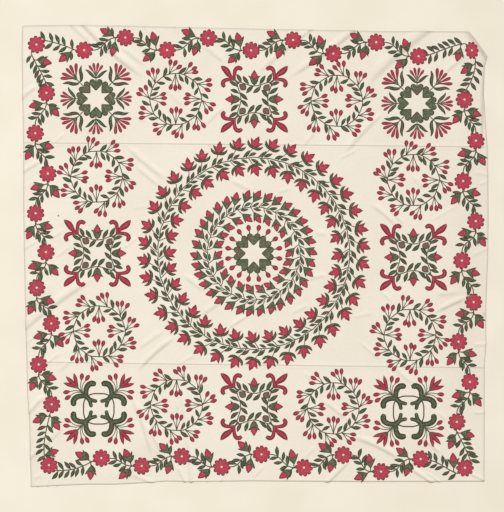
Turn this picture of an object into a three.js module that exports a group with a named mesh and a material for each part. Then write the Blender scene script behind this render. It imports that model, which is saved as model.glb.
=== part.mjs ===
// Cotton bedspread, laid flat, made of three lengths joined by two seams.
// Millimetres, +Z up. The origin is at the centre of its outline, on the surface it rests on.
import * as THREE from "three";

// Sizes
const UNIT = 5.2; // the plan below is measured in units of this many millimetres
const PLAN_CENTRE = { x: 255.1, y: 255.95 }; // the outline's middle, across and down the plan
const PLAN_WIDTH = 466.8;
const CLOTH = 1.5; // thickness of one layer
const SEAM_GAP = 0.4; // between two lengths
const BEND_RADIUS = 2; // of the turned-under corner, at the middle of the cloth
const BEND_STEPS = 5;
const FLAP_ROWS = [0.35, 0.7, 1]; // rows of points across the turned-under flap, as shares of its depth
const CORNER_SLOPE = 70; // how far the cloth takes to come down from the turned-under corner
const CORNER_GRID = 32; // spacing of points round that corner
const OPEN_GRID = 105; // spacing of points on the plain cloth
const EDGE_GRID = 62; // spacing of points along the edges
const FOLD_STEP = 46; // spacing of points along a fold
const FOLD_ROWS = [-0.5, -0.22, 0, 0.22, 0.5]; // rows of points across a fold, as shares of its width
const FOLD_CLEAR = 26; // plain points keep this far outside a fold
const MERGE = 9; // points nearer than this are one point
const GRID_ROWS = 0.87; // spacing of a grid's rows over the spacing of its points
const GRID_STARTS = [0.25, 0.75]; // where even and odd rows of a grid start, as shares of its spacing
const GRID_INSET = 0.35; // a grid's points keep this share of its spacing from the edges
const GRID_CLEAR = 0.42; // and this share of it from other points
const EDGE_CLEAR = 0.45; // even points along an edge keep this share of their spacing from a fold's points
const CORNER_SHARES = [0, 0.17, 0.34, 0.5, 0.67, 0.84]; // points along the corner's fold
const CORNER_REACH = 1.3; // the finer grid goes this far past the corner's slope
const CROSSING_STEPS = 60; // steps along a fold in which it may cross an edge
const CROSSING_BEYOND = 6; // and further steps past each of its ends
const FAR_AWAY = 200; // the first triangle reaches this many panel sizes out
const TAPER = 0.3; // share of a fold's length over which it rises and falls
const NARROW = 0.55; // width of a fold's closed end, as a share of its full width
const SLOPE_STEP = 0.5; // for measuring the slope of the cloth

// Plan units. A seam or edge that runs across gives its depth at each place across,
// and one that runs down gives its place across at each depth.
const TOP_EDGE = [
  { at: 22.2, is: 26.6 },
  { at: 25, is: 25.5 },
  { at: 60, is: 25 },
  { at: 120, is: 25.5 },
  { at: 180, is: 27 },
  { at: 252, is: 28.5 },
  { at: 300, is: 29.5 },
  { at: 380, is: 31 },
  { at: 430, is: 31.1 },
  { at: 460, is: 31.4 },
  { at: 468.7, is: 32 },
  { at: 473.5, is: 37.6 },
  { at: 480, is: 47 },
  { at: 484.6, is: 52.8 },
  { at: 486.7, is: 57 },
];
const UPPER_SEAM = [
  { at: 23.2, is: 143 },
  { at: 140, is: 143.8 },
  { at: 252, is: 144.8 },
  { at: 360, is: 145.8 },
  { at: 487.6, is: 147.3 },
];
const LOWER_SEAM = [
  { at: 26.8, is: 362 },
  { at: 140, is: 363.8 },
  { at: 252, is: 365 },
  { at: 360, is: 366.5 },
  { at: 484.6, is: 368 },
];
const BOTTOM_EDGE = [
  { at: 31, is: 486.9 },
  { at: 50, is: 486 },
  { at: 88.3, is: 484.3 },
  { at: 116.7, is: 484.3 },
  { at: 141.7, is: 483 },
  { at: 166.7, is: 481.2 },
  { at: 190, is: 481.8 },
  { at: 252, is: 481 },
  { at: 368.7, is: 481.8 },
  { at: 484.3, is: 481.4 },
];
const LEFT_EDGE = [
  { at: 26.6, is: 22.2 },
  { at: 50, is: 21.7 },
  { at: 100, is: 22.5 },
  { at: 150, is: 23.3 },
  { at: 200, is: 23.3 },
  { at: 256, is: 24.2 },
  { at: 331, is: 25.8 },
  { at: 397.7, is: 27.5 },
  { at: 416, is: 29.2 },
  { at: 456, is: 30 },
  { at: 486.9, is: 31 },
];
const RIGHT_EDGE = [
  { at: 57, is: 486.7 },
  { at: 66.7, is: 484.7 },
  { at: 93.3, is: 483.8 },
  { at: 116.7, is: 485.3 },
  { at: 150, is: 487.8 },
  { at: 217, is: 488.5 },
  { at: 256, is: 488 },
  { at: 306, is: 486.2 },
  { at: 346, is: 486.2 },
  { at: 366, is: 484.6 },
  { at: 456, is: 484.5 },
  { at: 481.4, is: 484.3 },
];
const CORNER_FOLD_AT = 468.7; // across the plan, where the turned-under corner's fold starts
const CORNER_TIP = { x: 487.2, y: 31.6 }; // where the corner would reach if it lay open

// Soft folds. Ends and bow in plan units, width and height in millimetres.
// The open end of a fold runs off the cloth.
const FOLDS = [
  { x0: 83, y0: 26, x1: 146, y1: 80, bow: -2.5, wide: 52, high: 8, open: "start" },
  { x0: 118, y0: 46, x1: 146, y1: 67, bow: 0, wide: 38, high: 4, open: "none" },
  { x0: 70, y0: 25, x1: 93, y1: 47, bow: 0, wide: 42, high: 4, open: "start" },
  { x0: 122, y0: 143, x1: 170, y1: 183, bow: -1.5, wide: 42, high: 5, open: "none" },
  { x0: 132, y0: 164, x1: 160, y1: 188, bow: 0, wide: 32, high: 4, open: "none" },
  { x0: 22, y0: 99, x1: 38, y1: 86, bow: 0, wide: 38, high: 6, open: "start" },
  { x0: 23, y0: 173, x1: 42, y1: 161, bow: 0, wide: 34, high: 5, open: "start" },
  { x0: 200, y0: 132, x1: 227, y1: 106, bow: 1, wide: 34, high: 4, open: "none" },
  { x0: 200, y0: 44, x1: 226, y1: 65, bow: 0, wide: 44, high: 4, open: "none" },
  { x0: 228, y0: 181, x1: 252, y1: 193, bow: 1, wide: 40, high: 4, open: "none" },
  { x0: 313, y0: 29, x1: 256, y1: 76, bow: -1, wide: 40, high: 6, open: "start" },
  { x0: 356, y0: 30, x1: 286, y1: 80, bow: 2, wide: 48, high: 8, open: "start" },
  { x0: 430, y0: 31, x1: 366, y1: 89, bow: -3, wide: 78, high: 9, open: "start" },
  { x0: 386, y0: 112, x1: 343, y1: 158, bow: -2, wide: 46, high: 7, open: "none" },
  { x0: 321, y0: 126, x1: 302, y1: 149, bow: 0, wide: 30, high: 4, open: "none" },
  { x0: 468, y0: 54, x1: 443, y1: 75, bow: 0, wide: 32, high: 6, open: "none" },
  { x0: 367, y0: 202, x1: 400, y1: 230, bow: 1, wide: 34, high: 5, open: "none" },
  { x0: 95, y0: 279, x1: 26, y1: 329, bow: -2, wide: 60, high: 8, open: "end" },
  { x0: 178, y0: 336, x1: 137, y1: 373, bow: -2, wide: 42, high: 8, open: "none" },
  { x0: 168, y0: 329, x1: 137, y1: 351, bow: 0, wide: 40, high: 4, open: "none" },
  { x0: 223, y0: 301, x1: 202, y1: 316, bow: 0, wide: 46, high: 5, open: "none" },
  { x0: 181, y0: 274, x1: 206, y1: 294, bow: 0, wide: 42, high: 4, open: "none" },
  { x0: 250, y0: 315, x1: 226, y1: 330, bow: 0, wide: 30, high: 5, open: "none" },
  { x0: 129, y0: 392, x1: 152, y1: 461, bow: 2, wide: 42, high: 7, open: "none" },
  { x0: 140, y0: 420, x1: 164, y1: 458, bow: 1, wide: 32, high: 5, open: "none" },
  { x0: 178, y0: 390, x1: 183, y1: 425, bow: 1, wide: 34, high: 4, open: "none" },
  { x0: 185, y0: 430, x1: 190, y1: 483, bow: 0.5, wide: 32, high: 6, open: "end" },
  { x0: 27, y0: 416, x1: 46, y1: 395, bow: 0, wide: 38, high: 7, open: "start" },
  { x0: 30, y0: 459, x1: 65, y1: 426, bow: -1, wide: 38, high: 5, open: "start" },
  { x0: 469, y0: 297, x1: 434, y1: 313, bow: 0, wide: 36, high: 8, open: "none" },
  { x0: 306, y0: 282, x1: 329, y1: 277, bow: 2, wide: 34, high: 4, open: "none" },
  { x0: 388, y0: 364, x1: 414, y1: 386, bow: 0, wide: 36, high: 4, open: "none" },
  { x0: 322, y0: 400, x1: 348, y1: 421, bow: 0, wide: 32, high: 5, open: "none" },
  { x0: 349, y0: 436, x1: 402, y1: 461, bow: 2, wide: 42, high: 7, open: "none" },
  { x0: 409, y0: 468, x1: 431, y1: 483, bow: 0, wide: 34, high: 7, open: "end" },
  { x0: 422, y0: 438, x1: 443, y1: 456, bow: 0, wide: 30, high: 4, open: "none" },
  { x0: 352, y0: 459, x1: 328, y1: 483, bow: 0, wide: 34, high: 7, open: "end" },
];

// The three lengths of cloth
const PANELS = [
  { name: "panel_top", above: TOP_EDGE, below: UPPER_SEAM, cornered: true },
  { name: "panel_middle", above: UPPER_SEAM, below: LOWER_SEAM, cornered: false },
  { name: "panel_bottom", above: LOWER_SEAM, below: BOTTOM_EDGE, cornered: false },
];
const COTTON = { color: 0xece3d1, roughness: 0.92, metalness: 0 };

const clamp01 = (value) => Math.min(1, Math.max(0, value));
const smooth = (value) => clamp01(value) ** 2 * (3 - 2 * clamp01(value));
const lerp = (a, b, share) => a + (b - a) * share;

// Reads an edge or seam between its stated points, and beyond them keeps its last value.
function read(line, at) {
  if (at <= line[0].at) return line[0].is;
  for (let i = 1; i < line.length; i += 1) {
    const [a, b] = [line[i - 1], line[i]];
    if (at <= b.at) return lerp(a.is, b.is, (at - a.at) / (b.at - a.at));
  }
  return line[line.length - 1].is;
}

// A place across and down the plan, in millimetres from the centre.
const toMillimetres = (x, y) => ({ x: (x - PLAN_CENTRE.x) * UNIT, y: (PLAN_CENTRE.y - y) * UNIT });

const along = (line, share) => lerp(line[0].at, line[line.length - 1].at, share);

// A panel's own place (across and down it, each from 0 to 1) on the plan, and back again.
function toPlan(panel, across, down) {
  const high = read(panel.above, along(panel.above, across));
  const low = read(panel.below, along(panel.below, across));
  const y = lerp(high, low, down);
  return { x: lerp(read(LEFT_EDGE, y), read(RIGHT_EDGE, y), across), y };
}

function toPanel(panel, x, y) {
  const [left, right] = [read(LEFT_EDGE, y), read(RIGHT_EDGE, y)];
  const across = (x - left) / (right - left);
  const high = read(panel.above, along(panel.above, clamp01(across)));
  const low = read(panel.below, along(panel.below, clamp01(across)));
  return { across, down: (y - high) / (low - high) };
}

// Each fold in millimetres, with its direction.
const folds = FOLDS.map((row) => {
  const [start, end] = [toMillimetres(row.x0, row.y0), toMillimetres(row.x1, row.y1)];
  const length = Math.hypot(end.x - start.x, end.y - start.y);
  const dir = { x: (end.x - start.x) / length, y: (end.y - start.y) / length };
  return { ...row, start, length, dir, bow: row.bow * UNIT };
});

const foldAmount = (fold, share) => {
  const rise = fold.open === "start" ? 1 : smooth(share / TAPER);
  const fall = fold.open === "end" ? 1 : smooth((1 - share) / TAPER);
  return rise * fall;
};
const foldWidth = (fold, share) => fold.wide * lerp(NARROW, 1, foldAmount(fold, share));
const foldBow = (fold, share) => 4 * fold.bow * clamp01(share) * (1 - clamp01(share));

// A point beside a fold, from its share along and its distance to the side.
function besideFold(fold, share, side) {
  const off = side + foldBow(fold, share);
  return {
    x: fold.start.x + fold.dir.x * fold.length * share - fold.dir.y * off,
    y: fold.start.y + fold.dir.y * fold.length * share + fold.dir.x * off,
  };
}

// Where a point is beside a fold: the share along it and the distance to the side.
function placeByFold(fold, x, y) {
  const [dx, dy] = [x - fold.start.x, y - fold.start.y];
  const share = (dx * fold.dir.x + dy * fold.dir.y) / fold.length;
  return { share, side: dy * fold.dir.x - dx * fold.dir.y - foldBow(fold, share) };
}

function foldHeight(fold, x, y) {
  const { share, side } = placeByFold(fold, x, y);
  const width = foldWidth(fold, share);
  if (Math.abs(side) >= width / 2) return 0;
  return fold.high * foldAmount(fold, share) * Math.cos((Math.PI * side) / width) ** 2;
}

// The turned-under corner: the ends of its fold, its tip, and the tip's place once folded under.
const foldStart = toMillimetres(CORNER_FOLD_AT, read(TOP_EDGE, CORNER_FOLD_AT));
const foldEnd = toMillimetres(RIGHT_EDGE[0].is, RIGHT_EDGE[0].at);
const tip = toMillimetres(CORNER_TIP.x, CORNER_TIP.y);
const foldRun = Math.hypot(foldEnd.x - foldStart.x, foldEnd.y - foldStart.y);
const outward = { x: (foldStart.y - foldEnd.y) / foldRun, y: (foldEnd.x - foldStart.x) / foldRun };
const tipReach = (tip.x - foldStart.x) * outward.x + (tip.y - foldStart.y) * outward.y;
const tipUnder = { x: tip.x - 2 * tipReach * outward.x, y: tip.y - 2 * tipReach * outward.y };

function distanceToSide(point, a, b) {
  const [dx, dy] = [b.x - a.x, b.y - a.y];
  const share = clamp01(((point.x - a.x) * dx + (point.y - a.y) * dy) / (dx * dx + dy * dy));
  return Math.hypot(point.x - a.x - dx * share, point.y - a.y - dy * share);
}

// How far a point is from the flap that lies under the corner. It is 0 above the flap.
function distanceToFlap(point) {
  const corners = [foldStart, foldEnd, tipUnder];
  let inside = true;
  let nearest = Infinity;
  corners.forEach((a, i) => {
    const b = corners[(i + 1) % corners.length];
    if ((b.x - a.x) * (point.y - a.y) - (b.y - a.y) * (point.x - a.x) > 0) inside = false;
    nearest = Math.min(nearest, distanceToSide(point, a, b));
  });
  return inside ? 0 : nearest;
}

// Height of the cloth over where it lies flat.
function heightAt(x, y) {
  const raised = 2 * BEND_RADIUS * (1 - smooth(distanceToFlap({ x, y }) / CORNER_SLOPE));
  const squares = folds.reduce((sum, fold) => sum + foldHeight(fold, x, y) ** 2, 0);
  return raised + Math.sqrt(squares);
}

function clothPoint(x, y) {
  const slopeX = (heightAt(x + SLOPE_STEP, y) - heightAt(x - SLOPE_STEP, y)) / (2 * SLOPE_STEP);
  const slopeY = (heightAt(x, y + SLOPE_STEP) - heightAt(x, y - SLOPE_STEP)) / (2 * SLOPE_STEP);
  const normal = new THREE.Vector3(-slopeX, -slopeY, 1).normalize();
  return { at: new THREE.Vector3(x, y, CLOTH / 2 + heightAt(x, y)), normal };
}

// Shares along an edge or seam where points go: its ends, each row of a fold that crosses it,
// and even steps between.
function edgeShares(line, extra) {
  const shares = [0, 1, ...extra];
  const width = toMillimetres(along(line, 1), 0).x - toMillimetres(along(line, 0), 0).x;
  const add = (share, clear) => {
    const apart = shares.every((other) => Math.abs(other - share) * width > clear);
    if (share > 0 && share < 1 && apart) shares.push(share);
  };
  const offEdge = (point) => {
    const plan = { x: point.x / UNIT + PLAN_CENTRE.x, y: PLAN_CENTRE.y - point.y / UNIT };
    const share = (plan.x - along(line, 0)) / (along(line, 1) - along(line, 0));
    return { share, off: plan.y - read(line, plan.x) };
  };
  for (const fold of folds) {
    for (const row of FOLD_ROWS) {
      let last = null;
      for (let i = -CROSSING_BEYOND; i <= CROSSING_STEPS + CROSSING_BEYOND; i += 1) {
        const share = i / CROSSING_STEPS;
        const now = offEdge(besideFold(fold, share, row * foldWidth(fold, clamp01(share))));
        if (last && last.off * now.off < 0) {
          add(lerp(last.share, now.share, last.off / (last.off - now.off)), MERGE);
        }
        last = now;
      }
    }
  }
  const even = Math.round(width / EDGE_GRID);
  for (let i = 1; i < even; i += 1) add(i / even, EDGE_GRID * EDGE_CLEAR);
  return shares.sort((a, b) => a - b);
}

// The places of a panel's points, as millimetres across and down a rectangle of its own size.
function panelPoints(panel, size) {
  const points = [];
  const far = (p, clear) => points.every((q) => Math.hypot(q.p - p.p, q.q - p.q) > clear);
  const inside = (p, clear) => p.p > clear && p.p < size.p - clear && p.q > clear && p.q < size.q - clear;
  const place = (at) => {
    const own = toPanel(panel, at.x / UNIT + PLAN_CENTRE.x, PLAN_CENTRE.y - at.y / UNIT);
    return { p: own.across * size.p, q: own.down * size.q };
  };
  const cornerStart = (CORNER_FOLD_AT - along(TOP_EDGE, 0)) / (along(TOP_EDGE, 1) - along(TOP_EDGE, 0));
  const cornerShares = CORNER_SHARES.map((share) => lerp(cornerStart, 1, share));
  for (const share of edgeShares(panel.above, panel.cornered ? cornerShares : [])) {
    points.push({ p: share * size.p, q: 0 });
  }
  for (const share of edgeShares(panel.below, [])) points.push({ p: share * size.p, q: size.q });
  const down = Math.round(size.q / EDGE_GRID);
  for (let i = 1; i < down; i += 1) {
    points.push({ p: 0, q: (size.q * i) / down }, { p: size.p, q: (size.q * i) / down });
  }
  for (const fold of folds) {
    const steps = Math.max(4, Math.round(fold.length / FOLD_STEP));
    for (let i = 0; i <= steps; i += 1) {
      for (const row of FOLD_ROWS) {
        const p = place(besideFold(fold, i / steps, row * foldWidth(fold, i / steps)));
        if (inside(p, MERGE) && far(p, MERGE)) points.push(p);
      }
    }
    // A side edge gets a point where each row of an open fold leaves the cloth.
    for (const row of fold.open === "none" ? [] : FOLD_ROWS) {
      const share = fold.open === "start" ? 0 : 1;
      const p = place(besideFold(fold, share, row * foldWidth(fold, share)));
      const onSide = { p: p.p < size.p / 2 ? 0 : size.p, q: p.q };
      const close = Math.abs(p.p - onSide.p) < EDGE_GRID / 2;
      if (close && p.q > MERGE && p.q < size.q - MERGE && far(onSide, MERGE)) points.push(onSide);
    }
  }
  const addGrid = (step, wanted) => {
    for (let row = 0; row * step * GRID_ROWS < size.q; row += 1) {
      for (let column = 0; column * step < size.p; column += 1) {
        const p = { p: (column + GRID_STARTS[row % 2]) * step, q: (row + 0.5) * step * GRID_ROWS };
        const plan = toPlan(panel, p.p / size.p, p.q / size.q);
        const free = inside(p, step * GRID_INSET) && far(p, step * GRID_CLEAR);
        if (free && wanted(toMillimetres(plan.x, plan.y))) points.push(p);
      }
    }
  };
  if (panel.cornered) addGrid(CORNER_GRID, (at) => distanceToFlap(at) < CORNER_SLOPE * CORNER_REACH);
  addGrid(OPEN_GRID, (at) => folds.every((fold) => clearOfFold(fold, at)));
  return points;
}

function clearOfFold(fold, at) {
  const { share, side } = placeByFold(fold, at.x, at.y);
  const beyond = Math.max(0, -share, share - 1) * fold.length;
  return Math.hypot(beyond, Math.max(0, Math.abs(side) - fold.wide / 2)) > FOLD_CLEAR;
}

// Joins points into triangles so that no point lies within another triangle's circle.
function triangulate(points, size) {
  const far = FAR_AWAY * Math.max(size.p, size.q);
  const all = [...points, { p: -far, q: -far }, { p: far, q: -far }, { p: 0, q: far }];
  const count = points.length;
  let triangles = [circled(all, [count, count + 1, count + 2])];
  for (let i = 0; i < count; i += 1) {
    const edges = new Map();
    triangles = triangles.filter((t) => {
      if (Math.hypot(all[i].p - t.p, all[i].q - t.q) > t.radius) return true;
      toggleEdges(edges, t.ids);
      return false;
    });
    for (const [a, b] of edges.values()) triangles.push(circled(all, [a, b, i]));
  }
  return triangles.filter((t) => t.ids.every((id) => id < count)).map((t) => t.ids);
}

function circled(all, ids) {
  const [a, b, c] = ids.map((id) => all[id]);
  const [bp, bq, cp, cq] = [b.p - a.p, b.q - a.q, c.p - a.p, c.q - a.q];
  const twice = 2 * (bp * cq - bq * cp);
  const p = (cq * (bp * bp + bq * bq) - bq * (cp * cp + cq * cq)) / twice;
  const q = (bp * (cp * cp + cq * cq) - cp * (bp * bp + bq * bq)) / twice;
  return { ids, p: a.p + p, q: a.q + q, radius: Math.hypot(p, q) };
}

// Keeps a triangle's edges, and drops each one that its neighbour has already brought.
function toggleEdges(edges, [a, b, c]) {
  for (const [from, to] of [[a, b], [b, c], [c, a]]) {
    if (!edges.delete(`${to},${from}`)) edges.set(`${from},${to}`, [from, to]);
  }
}

// Carries the cloth over the corner's fold and back underneath, row by row.
function addFlap(points, triangles, chain) {
  const rows = [];
  for (let i = 1; i <= BEND_STEPS; i += 1) rows.push({ reach: (Math.PI * BEND_RADIUS * i) / BEND_STEPS });
  for (const share of FLAP_ROWS) rows.push({ share });
  let last = chain;
  for (const row of rows) {
    const ids = chain.map((id) => {
      const from = points[id].at;
      const depth = (tip.x - from.x) * outward.x + (tip.y - from.y) * outward.y;
      const share = row.share ?? row.reach / depth;
      const reach = share * depth;
      const foot = {
        x: lerp(from.x, tip.x, share) - outward.x * reach,
        y: lerp(from.y, tip.y, share) - outward.y * reach,
      };
      const turn = Math.min(Math.PI, reach / BEND_RADIUS);
      const out = BEND_RADIUS * Math.sin(turn) - Math.max(0, reach - Math.PI * BEND_RADIUS);
      const z = CLOTH / 2 + BEND_RADIUS * (1 + Math.cos(turn));
      const at = new THREE.Vector3(foot.x + outward.x * out, foot.y + outward.y * out, z);
      const lean = Math.sin(turn);
      const normal = new THREE.Vector3(outward.x * lean, outward.y * lean, Math.cos(turn)).normalize();
      points.push({ at, normal });
      return points.length - 1;
    });
    const closed = row.share === 1;
    for (let i = 1; i < chain.length; i += 1) {
      if (closed) {
        triangles.push([last[i - 1], last[i], ids[0]]);
      } else {
        triangles.push([last[i - 1], last[i], ids[i - 1]], [ids[i - 1], last[i], ids[i]]);
      }
    }
    last = ids;
  }
}

// One length of cloth as a closed sheet of even thickness.
function makePanel(panel) {
  const depth = toPlan(panel, 0.5, 1).y - toPlan(panel, 0.5, 0).y;
  const size = { p: PLAN_WIDTH * UNIT, q: depth * UNIT };
  const places = panelPoints(panel, size);
  const points = places.map((place) => {
    const plan = toPlan(panel, place.p / size.p, place.q / size.q);
    const at = toMillimetres(plan.x, plan.y);
    const point = clothPoint(at.x, at.y);
    if (place.q === 0 && panel.above !== TOP_EDGE) point.at.y -= SEAM_GAP / 2;
    if (place.q === size.q && panel.below !== BOTTOM_EDGE) point.at.y += SEAM_GAP / 2;
    return point;
  });
  const triangles = triangulate(places, size).map((ids) => faceUp(points, ids));
  if (panel.cornered) {
    const chain = places
      .map((place, id) => ({ id, place }))
      .filter(({ id, place }) => place.q === 0 && points[id].at.x > foldStart.x - 1)
      .sort((a, b) => a.place.p - b.place.p)
      .map(({ id }) => id);
    addFlap(points, triangles, chain);
  }
  return thicken(points, triangles);
}

function faceUp(points, [a, b, c]) {
  const [pa, pb, pc] = [points[a].at, points[b].at, points[c].at];
  const turn = (pb.x - pa.x) * (pc.y - pa.y) - (pb.y - pa.y) * (pc.x - pa.x);
  return turn > 0 ? [a, b, c] : [a, c, b];
}

function thicken(points, triangles) {
  const used = [...new Set(triangles.flat())];
  const slot = new Map(used.map((id, i) => [id, i]));
  const positions = [];
  for (const side of [1, -1]) {
    for (const id of used) {
      const { at, normal } = points[id];
      positions.push(...at.clone().addScaledVector(normal, (side * CLOTH) / 2).toArray());
    }
  }
  const under = used.length;
  const index = [];
  for (const ids of triangles) {
    const [a, b, c] = ids.map((id) => slot.get(id));
    index.push(a, b, c, c + under, b + under, a + under);
  }
  const edges = new Map();
  for (const ids of triangles) toggleEdges(edges, ids);
  for (const [from, to] of edges.values()) {
    const [a, b] = [slot.get(from), slot.get(to)];
    index.push(b, a, a + under, b, a + under, b + under);
  }
  const geometry = new THREE.BufferGeometry();
  geometry.setAttribute("position", new THREE.Float32BufferAttribute(positions, 3));
  geometry.setIndex(index);
  geometry.computeVertexNormals();
  return geometry;
}

const bedspread = new THREE.Group();
for (const panel of PANELS) {
  const mesh = new THREE.Mesh(makePanel(panel), new THREE.MeshStandardMaterial(COTTON));
  mesh.name = panel.name;
  bedspread.add(mesh);
}
export default bedspread;
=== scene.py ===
# Appliqué bedspread in cream cotton, laid flat with soft folds: three lengths of ground cloth,
# their seams and hem, and sewn-on roses, buds, leaves and stems in crimson and green cotton.
# Metres, +Z up. Motifs are laid out on a plan, in units of UNIT metres from the outline's middle,
# as complex numbers: the real part goes across and the imaginary part goes up the bedspread.
import cmath
import math
import random

import bmesh
import bpy
import numpy as np
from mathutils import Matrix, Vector
from mathutils.bvhtree import BVHTree


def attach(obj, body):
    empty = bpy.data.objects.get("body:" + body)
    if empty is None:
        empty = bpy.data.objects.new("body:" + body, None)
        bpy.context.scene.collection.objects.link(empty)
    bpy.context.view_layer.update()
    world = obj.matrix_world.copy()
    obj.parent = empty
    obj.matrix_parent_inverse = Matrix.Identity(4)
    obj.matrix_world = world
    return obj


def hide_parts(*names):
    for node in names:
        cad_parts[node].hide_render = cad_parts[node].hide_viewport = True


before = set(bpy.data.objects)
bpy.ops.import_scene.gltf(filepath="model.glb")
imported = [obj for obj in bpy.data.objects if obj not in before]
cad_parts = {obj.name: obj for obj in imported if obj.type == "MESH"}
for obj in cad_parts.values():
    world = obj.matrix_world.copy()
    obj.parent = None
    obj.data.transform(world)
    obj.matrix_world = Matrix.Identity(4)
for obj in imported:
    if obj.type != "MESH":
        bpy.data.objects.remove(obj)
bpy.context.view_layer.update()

# Sizes of the cloth
UNIT = 0.0052
MIDDLE_X = 255.1  # the outline's middle, in plan units across and down
MIDDLE_Y = 255.95
CLOTH = 0.0012  # thickness of one layer, as drawn
CLOTH_TOP = 0.0015  # top of the cloth where it lies flat
SEAM_HALF_GAP = 0.00005
THREADS_APART = 0.008  # spacing of the ground cloth's mesh lines
BEND_RADIUS = 0.002  # of the turned-under corner, at the middle of the cloth
BEND_LIFT = 0.0009  # extra height of the cloth over the turned-under corner
BEND_STEPS = 6
FLAP_ROWS = (0.35, 0.7, 1.0)  # rows across the turned-under flap, as shares of its depth
CORNER_SLOPE = 0.070  # how far the cloth takes to come down from the turned-under corner
CORNER_LINES = 22  # mesh lines across the corner's fold
TAPER = 0.3  # share of a fold's length over which it rises and falls
NARROW = 0.55  # width of a fold's closed end, as a share of its full width
# A fold's section, in half widths: its crest's place towards the upper side, and both flanks
CREST, UPPER_FLANK, LOWER_FLANK = 0.34, 1.2, 0.8
SHOULDER = (0.0046, 0.003, 0.024)  # height, outer width and inner width of the corner's soft ridge
RIDGE_PAST, RIDGE_FADES = 0.25, 0.35  # shares of the corner's fold, past its ends

# The plan: each edge or seam as (where it is read, its place there)
TOP_EDGE = np.array([
    (22.2, 26.6), (25, 25.5), (60, 25), (120, 25.5), (180, 27), (252, 28.5), (300, 29.5),
    (380, 31), (430, 31.1), (460, 31.4), (468.7, 32), (473.5, 37.6), (480, 47), (484.6, 52.8),
    (486.7, 57)])
UPPER_SEAM = np.array([(23.2, 143), (140, 143.8), (252, 144.8), (360, 145.8), (487.6, 147.3)])
LOWER_SEAM = np.array([(26.8, 362), (140, 363.8), (252, 365), (360, 366.5), (484.6, 368)])
BOTTOM_EDGE = np.array([
    (31, 486.9), (50, 486), (88.3, 484.3), (116.7, 484.3), (141.7, 483), (166.7, 481.2),
    (190, 481.8), (252, 481), (368.7, 481.8), (484.3, 481.4)])
LEFT_EDGE = np.array([
    (26.6, 22.2), (50, 21.7), (100, 22.5), (150, 23.3), (200, 23.3), (256, 24.2), (331, 25.8),
    (397.7, 27.5), (416, 29.2), (456, 30), (486.9, 31)])
RIGHT_EDGE = np.array([
    (57, 486.7), (66.7, 484.7), (93.3, 483.8), (116.7, 485.3), (150, 487.8), (217, 488.5),
    (256, 488), (306, 486.2), (346, 486.2), (366, 484.6), (456, 484.5), (481.4, 484.3)])
CORNER_FOLD_AT = 468.7
CORNER_TIP = (487.2, 31.6)

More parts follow.
